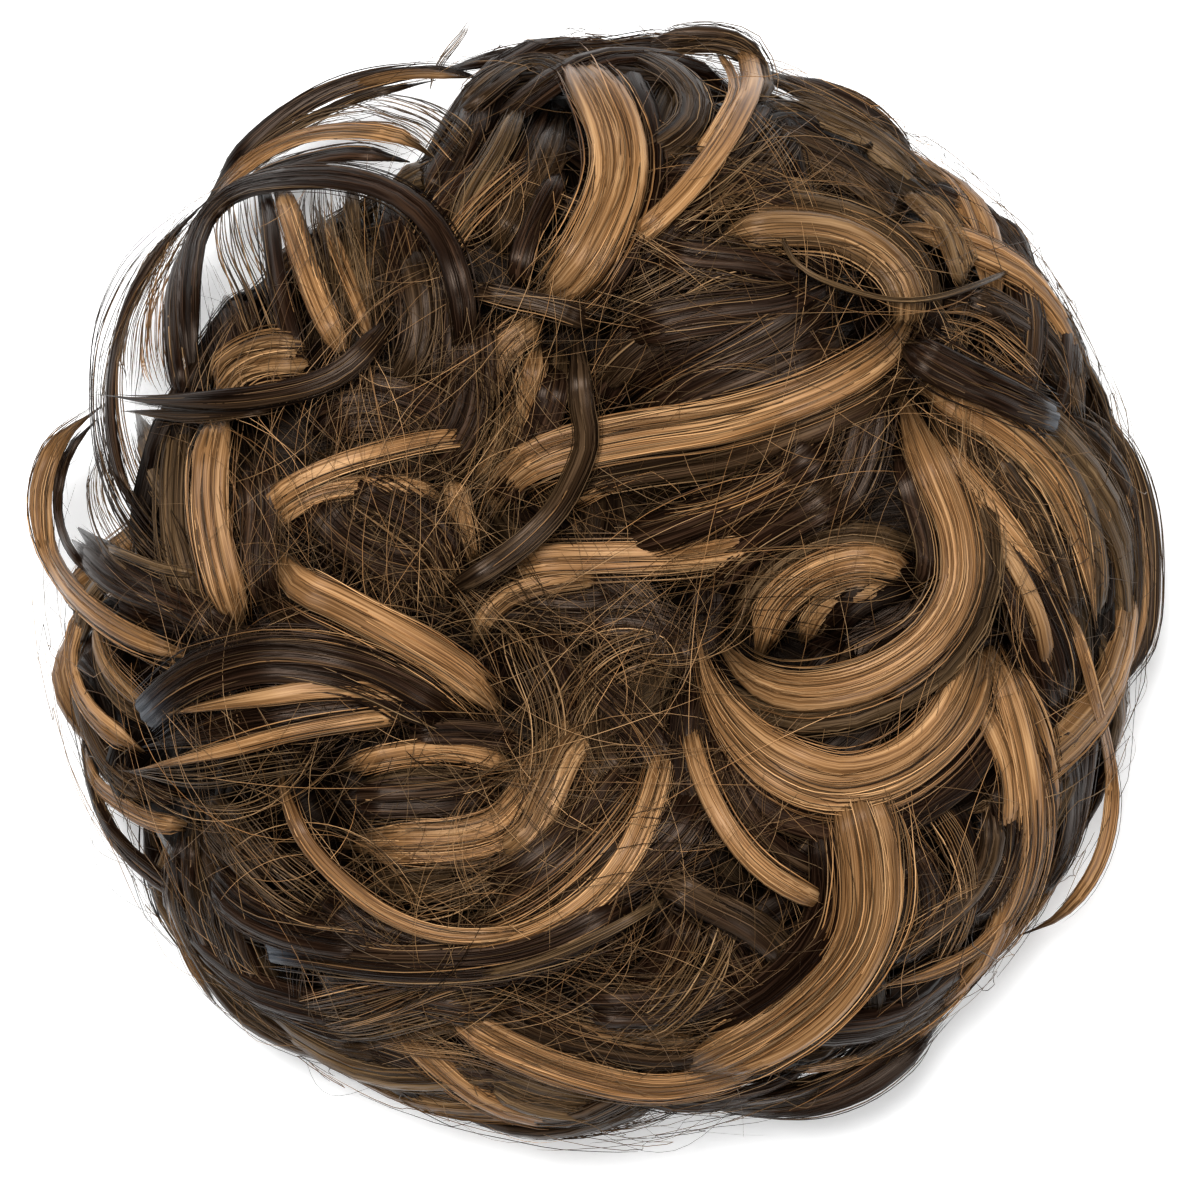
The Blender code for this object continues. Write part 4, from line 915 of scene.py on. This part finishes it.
def tangle_mesh():
    """The dark backing below the locks, made nearly black by painted shade: a lumpy closed ring with the
    hollow for the wearer's own bun.
    """
    rng = np.random.default_rng(3)
    steps = BACKING_STEPS
    outer = []
    for reach in np.linspace(0.0, BACKING_REACH, 30):
        outer.append((reach * BUN_RADIUS, float(np.interp(reach, REACH, HEIGHT)) - BACKING_DEPTH))
    last_radius, last_height = outer[-1]
    for share in np.linspace(0.1, 1.0, 12):
        height = last_height * (1 - share) + 3.0 * MM * share
        most = float(np.interp(height / BUN_HEIGHT, SIDE_HEIGHT, SIDE_REACH)) * BUN_RADIUS - BACKING_INSET
        outer.append((min(last_radius + BACKING_BULGE * math.sin(math.pi * share), most), height))
    inner = [(0.70 * BUN_RADIUS, BACKING_FLOOR), (0.50 * BUN_RADIUS, BACKING_FLOOR)]
    inner += [(HOLLOW_RADIUS + 1.2 * MM, 2.6 * MM), (HOLLOW_RADIUS, 10 * MM)]
    for reach, height in ((1.0, 0.72), (0.72, 0.94), (0.3, 1.0), (0.0, 1.0)):
        inner.append((reach * HOLLOW_RADIUS, height * HOLLOW_HEIGHT))
    profile = outer + inner
    angles = 2 * np.pi * np.arange(steps) / steps
    rows = profile[1:-1]
    points = []
    lumps = [wander(rng, 1, steps, 24)[0] for _ in range(3)]
    for row, (radius, height) in enumerate(rows):
        on_outside = row < len(outer) - 1
        share = row / len(outer)
        shift = int(steps * 0.35 * share)
        relief = sum(np.roll(lump, shift * (2 + n)) for n, lump in enumerate(lumps)) / 3
        swell = math.sin(math.pi * min(share + 0.05, 1))
        relief = relief * (BACKING_RELIEF if on_outside else 0.3 * MM) * swell
        x, y = (radius + relief) * np.cos(angles), (radius + relief) * np.sin(angles)
        x, y = keep_window(x, y, WINDOW_BACKING_REACH)
        z = np.maximum(height + relief * on_outside, FLOOR_CLEARANCE)
        points.append(np.stack([x, y, z], axis=1))
    points = np.concatenate([*points, [(0, 0, profile[0][1]), (0, 0, profile[-1][1])]])
    faces = []
    for row in range(len(rows) - 1):
        for step in range(steps):
            after = (step + 1) % steps
            here, below = row * steps, (row + 1) * steps
            faces.append((here + step, below + step, below + after, here + after))
    top, bottom = len(points) - 2, len(points) - 1
    for step in range(steps):
        after = (step + 1) % steps
        faces.append((top, step, after))
        faces.append((bottom, (len(rows) - 1) * steps + after, (len(rows) - 1) * steps + step))
    mesh = bpy.data.meshes.new("tangle")
    mesh.from_pydata([tuple(p) for p in points], [], faces)
    layer = mesh.uv_layers.new(name="strand")
    coordinates = np.array([vertex.co for vertex in mesh.vertices])
    swirl = np.arctan2(coordinates[:, 1], coordinates[:, 0]) * 0.06 + coordinates[:, 2] * 0.8
    along = np.hypot(coordinates[:, 0], coordinates[:, 1]) + coordinates[:, 2]
    corner = np.array([loop.vertex_index for loop in mesh.loops])
    chart = np.stack([swirl[corner], along[corner]], axis=1).astype(np.float32)
    layer.data.foreach_set("uv", chart.reshape(-1))
    # Painted shade: the backing's shade attribute is set low, so its colour comes out nearly black
    for label, value in BACKING_TONE_AND_PAINTED_SHADE:
        attribute = mesh.attributes.new(label, "FLOAT", "POINT")
        attribute.data.foreach_set("value", np.full(len(mesh.vertices), value, np.float32))
    mesh.shade_smooth()
    return mesh


def node(tree, kind, inputs=None, **settings):
    """A new node, with its settings, and its inputs set to values or linked to outputs."""
    made = tree.nodes.new(kind)
    for name, value in settings.items():
        setattr(made, name, value)
    for socket, value in (inputs or {}).items():
        if isinstance(value, bpy.types.NodeSocket):
            tree.links.new(value, made.inputs[socket])
        else:
            made.inputs[socket].default_value = value
    return made


def maths(tree, operation, *values):
    return node(tree, "ShaderNodeMath", dict(enumerate(values)), operation=operation).outputs[0]


def mix_colours(tree, factor, a, b, blend="MIX"):
    return node(tree, "ShaderNodeMix", {0: factor, 6: a, 7: b}, data_type="RGBA", blend_type=blend).outputs[2]


def ramp(tree, factor, stops):
    made = node(tree, "ShaderNodeValToRGB", {0: factor})
    elements = made.color_ramp.elements
    while len(elements) < len(stops):
        elements.new(0.5)
    for element, (position, colour) in zip(elements, stops):
        element.position = position
        element.color = (*colour, 1.0)
    return made.outputs[0]


def new_material(name):
    material = bpy.data.materials.new(name)
    material.use_nodes = True
    return material, material.node_tree, material.node_tree.nodes["Principled BSDF"]


def hair_material(name, gloss=HAIR_GLOSS):
    """Synthetic hair: streaks of tone and fine ridges along the strands, with painted light and shade from
    the shade attribute.
    """
    material, tree, shader = new_material(name)
    tone = node(tree, "ShaderNodeAttribute", attribute_name="tone").outputs["Fac"]
    shade = node(tree, "ShaderNodeAttribute", attribute_name="shade").outputs["Fac"]
    grey = node(tree, "ShaderNodeAttribute", attribute_name="grey").outputs["Fac"]
    chart = node(tree, "ShaderNodeUVMap", uv_map="strand").outputs[0]
    number = node(tree, "ShaderNodeAttribute", attribute_name="own").outputs["Fac"]
    own = node(tree, "ShaderNodeCombineXYZ", {"Z": maths(tree, "MULTIPLY", number, 97.0)}).outputs[0]

    def streaks(across, along):
        stretched = node(tree, "ShaderNodeMapping", {"Vector": chart, "Scale": (1 / across, 1 / along, 1.0)})
        place = node(tree, "ShaderNodeVectorMath", {0: stretched.outputs[0], 1: own}, operation="ADD")
        noise = {"Vector": place.outputs[0], "Scale": 1.0, "Detail": 1.0, "Roughness": 0.6}
        return node(tree, "ShaderNodeTexNoise", noise).outputs[0]

    fine, medium, broad = streaks(*FINE_STREAK), streaks(*MEDIUM_STREAK), streaks(*BROAD_STREAK)
    strands = maths(tree, "ADD", maths(tree, "MULTIPLY", fine, 0.40), maths(tree, "MULTIPLY", medium, 0.60))
    mixed = maths(tree, "ADD", maths(tree, "MULTIPLY", strands, 0.75), maths(tree, "MULTIPLY", broad, 0.25))
    brown = ramp(tree, mixed, BROWN_STREAKS)
    khaki = ramp(tree, mixed, KHAKI_STREAKS)
    caramel = ramp(tree, mixed, CARAMEL_STREAKS)
    wavering = maths(tree, "ADD", tone, maths(tree, "MULTIPLY", maths(tree, "SUBTRACT", broad, 0.5), 0.35))
    double = maths(tree, "MULTIPLY", wavering, 2.0)
    low = node(tree, "ShaderNodeClamp", {"Value": double}).outputs[0]
    high = node(tree, "ShaderNodeClamp", {"Value": maths(tree, "SUBTRACT", double, 1.0)}).outputs[0]
    colour = mix_colours(tree, high, mix_colours(tree, low, brown, khaki), caramel)
    # Painted light and shade: the shade attribute scales the colour, near black where hair lies deep or tucks
    # under other locks and brighter than its own colour on a lock's crest; it also holds a random tone for
    # each strand
    level = maths(tree, "ADD", maths(tree, "MULTIPLY", shade, 1.42), 0.02)
    levels = node(tree, "ShaderNodeCombineColor", {0: level, 1: level, 2: level}).outputs[0]
    colour = mix_colours(tree, 1.0, colour, levels, "MULTIPLY")
    colour = mix_colours(tree, grey, colour, CUT_GREY)
    bump = node(tree, "ShaderNodeBump", {"Strength": 0.8, "Distance": 0.30 * MM, "Height": strands})
    tangent = node(tree, "ShaderNodeTangent", direction_type="UV_MAP", uv_map="strand")
    roughness = maths(tree, "ADD", maths(tree, "MULTIPLY", fine, 0.25), 0.24)
    tree.links.new(colour, shader.inputs["Base Color"])
    tree.links.new(roughness, shader.inputs["Roughness"])
    tree.links.new(bump.outputs[0], shader.inputs["Normal"])
    tree.links.new(tangent.outputs[0], shader.inputs["Tangent"])
    shader.inputs["Anisotropic"].default_value = 0.7
    shader.inputs["Specular IOR Level"].default_value = gloss
    shader.inputs["Specular Tint"].default_value = HAIR_TINT
    return material


def elastic_material():
    """Elastic cord, wound with black thread."""
    material, tree, shader = new_material("elastic_cord")
    chart = node(tree, "ShaderNodeUVMap", uv_map="strand").outputs[0]
    split = node(tree, "ShaderNodeSeparateXYZ", {0: chart}).outputs
    round_cord = maths(tree, "MULTIPLY", split[0], 900.0)
    slanted = maths(tree, "ADD", round_cord, maths(tree, "MULTIPLY", split[1], 5200.0))
    thread = maths(tree, "ADD", maths(tree, "MULTIPLY", maths(tree, "SINE", slanted), 0.5), 0.5)
    colour = mix_colours(tree, thread, THREAD_DARK, THREAD_LIGHT)
    bump = node(tree, "ShaderNodeBump", {"Strength": 0.8, "Distance": 0.15 * MM, "Height": thread})
    tree.links.new(colour, shader.inputs["Base Color"])
    tree.links.new(bump.outputs[0], shader.inputs["Normal"])
    shader.inputs["Roughness"].default_value = 0.75
    return material


def add_elastic():
    """The elastic, as a smooth cord that is pinched in by the thread at even steps."""
    stations, sides = 181, 16
    angles = np.linspace(0, 2 * np.pi, stations)
    across = np.stack([np.cos(angles), np.sin(angles), np.zeros(stations)], axis=1)
    centres = ELASTIC_RADIUS * across + np.array((0.0, 0.0, ELASTIC_MIDDLE))
    out = np.broadcast_to((0.0, 0.0, 1.0), centres.shape)
    pinch = 1 - 0.05 * (0.5 + 0.5 * np.cos(angles * THREAD_TURNS))
    half_width, half_height = ELASTIC_HALF_WIDTH * pinch, ELASTIC_HALF_HEIGHT * pinch
    rings = tube_rings(centres, -across, out, half_width, half_height, sides)[None]
    tubes = Tubes()
    tubes.add(rings, 0.0, 0.5)
    tubes.piece("elastic", elastic_material(), "elastic", "elastic_band")


def add_hair():
    """All the hair, a seeded row of random numbers for each of its parts."""
    brown, caramel = hair_material("brown_hair"), hair_material("caramel_hair")
    deep = hair_material("brown_deep", DEEP_GLOSS)

    mesh = tangle_mesh()
    mesh.materials.append(hair_material("brown_backing", DEEP_GLOSS))
    add_piece("tangle", mesh, "brown_hair")

    rng = np.random.default_rng(11)
    for lock in CARAMEL_LOCKS:
        tubes = Tubes()
        photo_lock(tubes, rng, lock)
        tubes.piece(lock.name, caramel, "caramel_hair", "caramel_" + lock.name)

    rng = np.random.default_rng(12)
    tubes = Tubes()
    for lock in EXTRA_LOCKS:
        photo_lock(tubes, rng, lock)
    tubes.piece("caramel_locks", caramel, "caramel_hair")

    rng = np.random.default_rng(13)
    half = len(BROWN_LOCKS) // 2
    for name, share in (("brown_locks", BROWN_LOCKS[:half]), ("brown_locks_more", BROWN_LOCKS[half:])):
        tubes = Tubes()
        for lock in share:
            photo_lock(tubes, rng, lock)
        tubes.piece(name, brown, "brown_hair")

    rng = np.random.default_rng(17)
    tubes = Tubes()
    for lock in CARAMEL_LOCKS + EXTRA_LOCKS:
        if lock.width >= COMPANION_WIDTH:
            companion(tubes, rng, lock)
    tubes.piece("companion_locks", deep, "brown_hair")

    rng = np.random.default_rng(14)
    tubes = Tubes()
    samples = flow_samples()
    for _ in range(UNDER_LOCKS):
        under_lock(tubes, rng, samples)
    for number in range(UNDERSIDE_LOCKS):
        underside_lock(tubes, rng, 360 * number / UNDERSIDE_LOCKS)
    tubes.piece("under_locks", deep, "brown_hair")

    rng = np.random.default_rng(15)
    tubes = Tubes()
    number = 0
    for row in SIDE_ROWS:
        for step in range(row.locks):
            bearing = 360 * (step + 0.31 * number / row.locks) / row.locks + rng.uniform(-5, 5)
            side_lock(tubes, rng, bearing, row.start, row.top, SIDE_TONES[number % len(SIDE_TONES)])
            number += 1
    tubes.piece("side_locks", brown, "brown_hair")

    rng = np.random.default_rng(16)
    tubes = Tubes()
    for hairs in BROWN_HAIRS:
        loose_hairs(tubes, rng, hairs)
    side_hairs(tubes, rng, SIDE_HAIRS)
    tubes.piece("loose_brown", deep, "brown_hair")
    tubes = Tubes()
    for hairs in CARAMEL_HAIRS:
        loose_hairs(tubes, rng, hairs)
    side_hairs(tubes, rng, SIDE_HAIRS)
    halo_hairs(tubes, rng, HALO_HAIRS)
    tubes.piece("loose_caramel", caramel, "caramel_hair")


def add_floor():
    mesh = bpy.data.meshes.new("floor")
    corners = [(x * FLOOR_HALF_SIDE, y * FLOOR_HALF_SIDE, 0) for x, y in ((-1, -1), (1, -1), (1, 1), (-1, 1))]
    mesh.from_pydata(corners, [], [(0, 1, 2, 3)])
    material, _, shader = new_material("floor")
    shader.inputs["Base Color"].default_value = FLOOR_COLOUR
    shader.inputs["Roughness"].default_value = 0.9
    shader.inputs["Emission Color"].default_value = WHITE
    shader.inputs["Emission Strength"].default_value = FLOOR_GLOW
    shader.inputs["Specular IOR Level"].default_value = 0.1
    mesh.materials.append(material)
    floor = bpy.data.objects.new("floor", mesh)
    bpy.context.scene.collection.objects.link(floor)


def add_area(name, place, size, power):
    light = bpy.data.lights.new(name, "AREA")
    light.shape = "DISK"
    light.size = size
    light.energy = power
    lamp = bpy.data.objects.new(name, light)
    lamp.location = place
    lamp.rotation_euler = (AIM - Vector(place)).to_track_quat("-Z", "Y").to_euler()
    bpy.context.scene.collection.objects.link(lamp)


def add_lights():
    add_area("key", *KEY_LIGHT)
    add_area("fill", *FILL_LIGHT)
    world = bpy.data.worlds.new("studio")
    world.use_nodes = True
    background = world.node_tree.nodes["Background"]
    background.inputs["Color"].default_value = WHITE
    background.inputs["Strength"].default_value = WORLD_LIGHT
    bpy.context.scene.world = world
    bpy.context.scene.view_settings.view_transform = "Standard"


def add_camera():
    data = bpy.data.cameras.new("camera")
    data.sensor_width = SENSOR
    data.lens = SENSOR * (CAMERA_HEIGHT - AIM.z) / PHOTO_SPAN
    data.clip_start = 0.01
    camera = bpy.data.objects.new("camera", data)
    camera.location = (AIM.x, AIM.y, CAMERA_HEIGHT)
    bpy.context.scene.collection.objects.link(camera)
    bpy.context.scene.camera = camera


add_camera()
add_lights()
add_floor()
add_elastic()
add_hair()
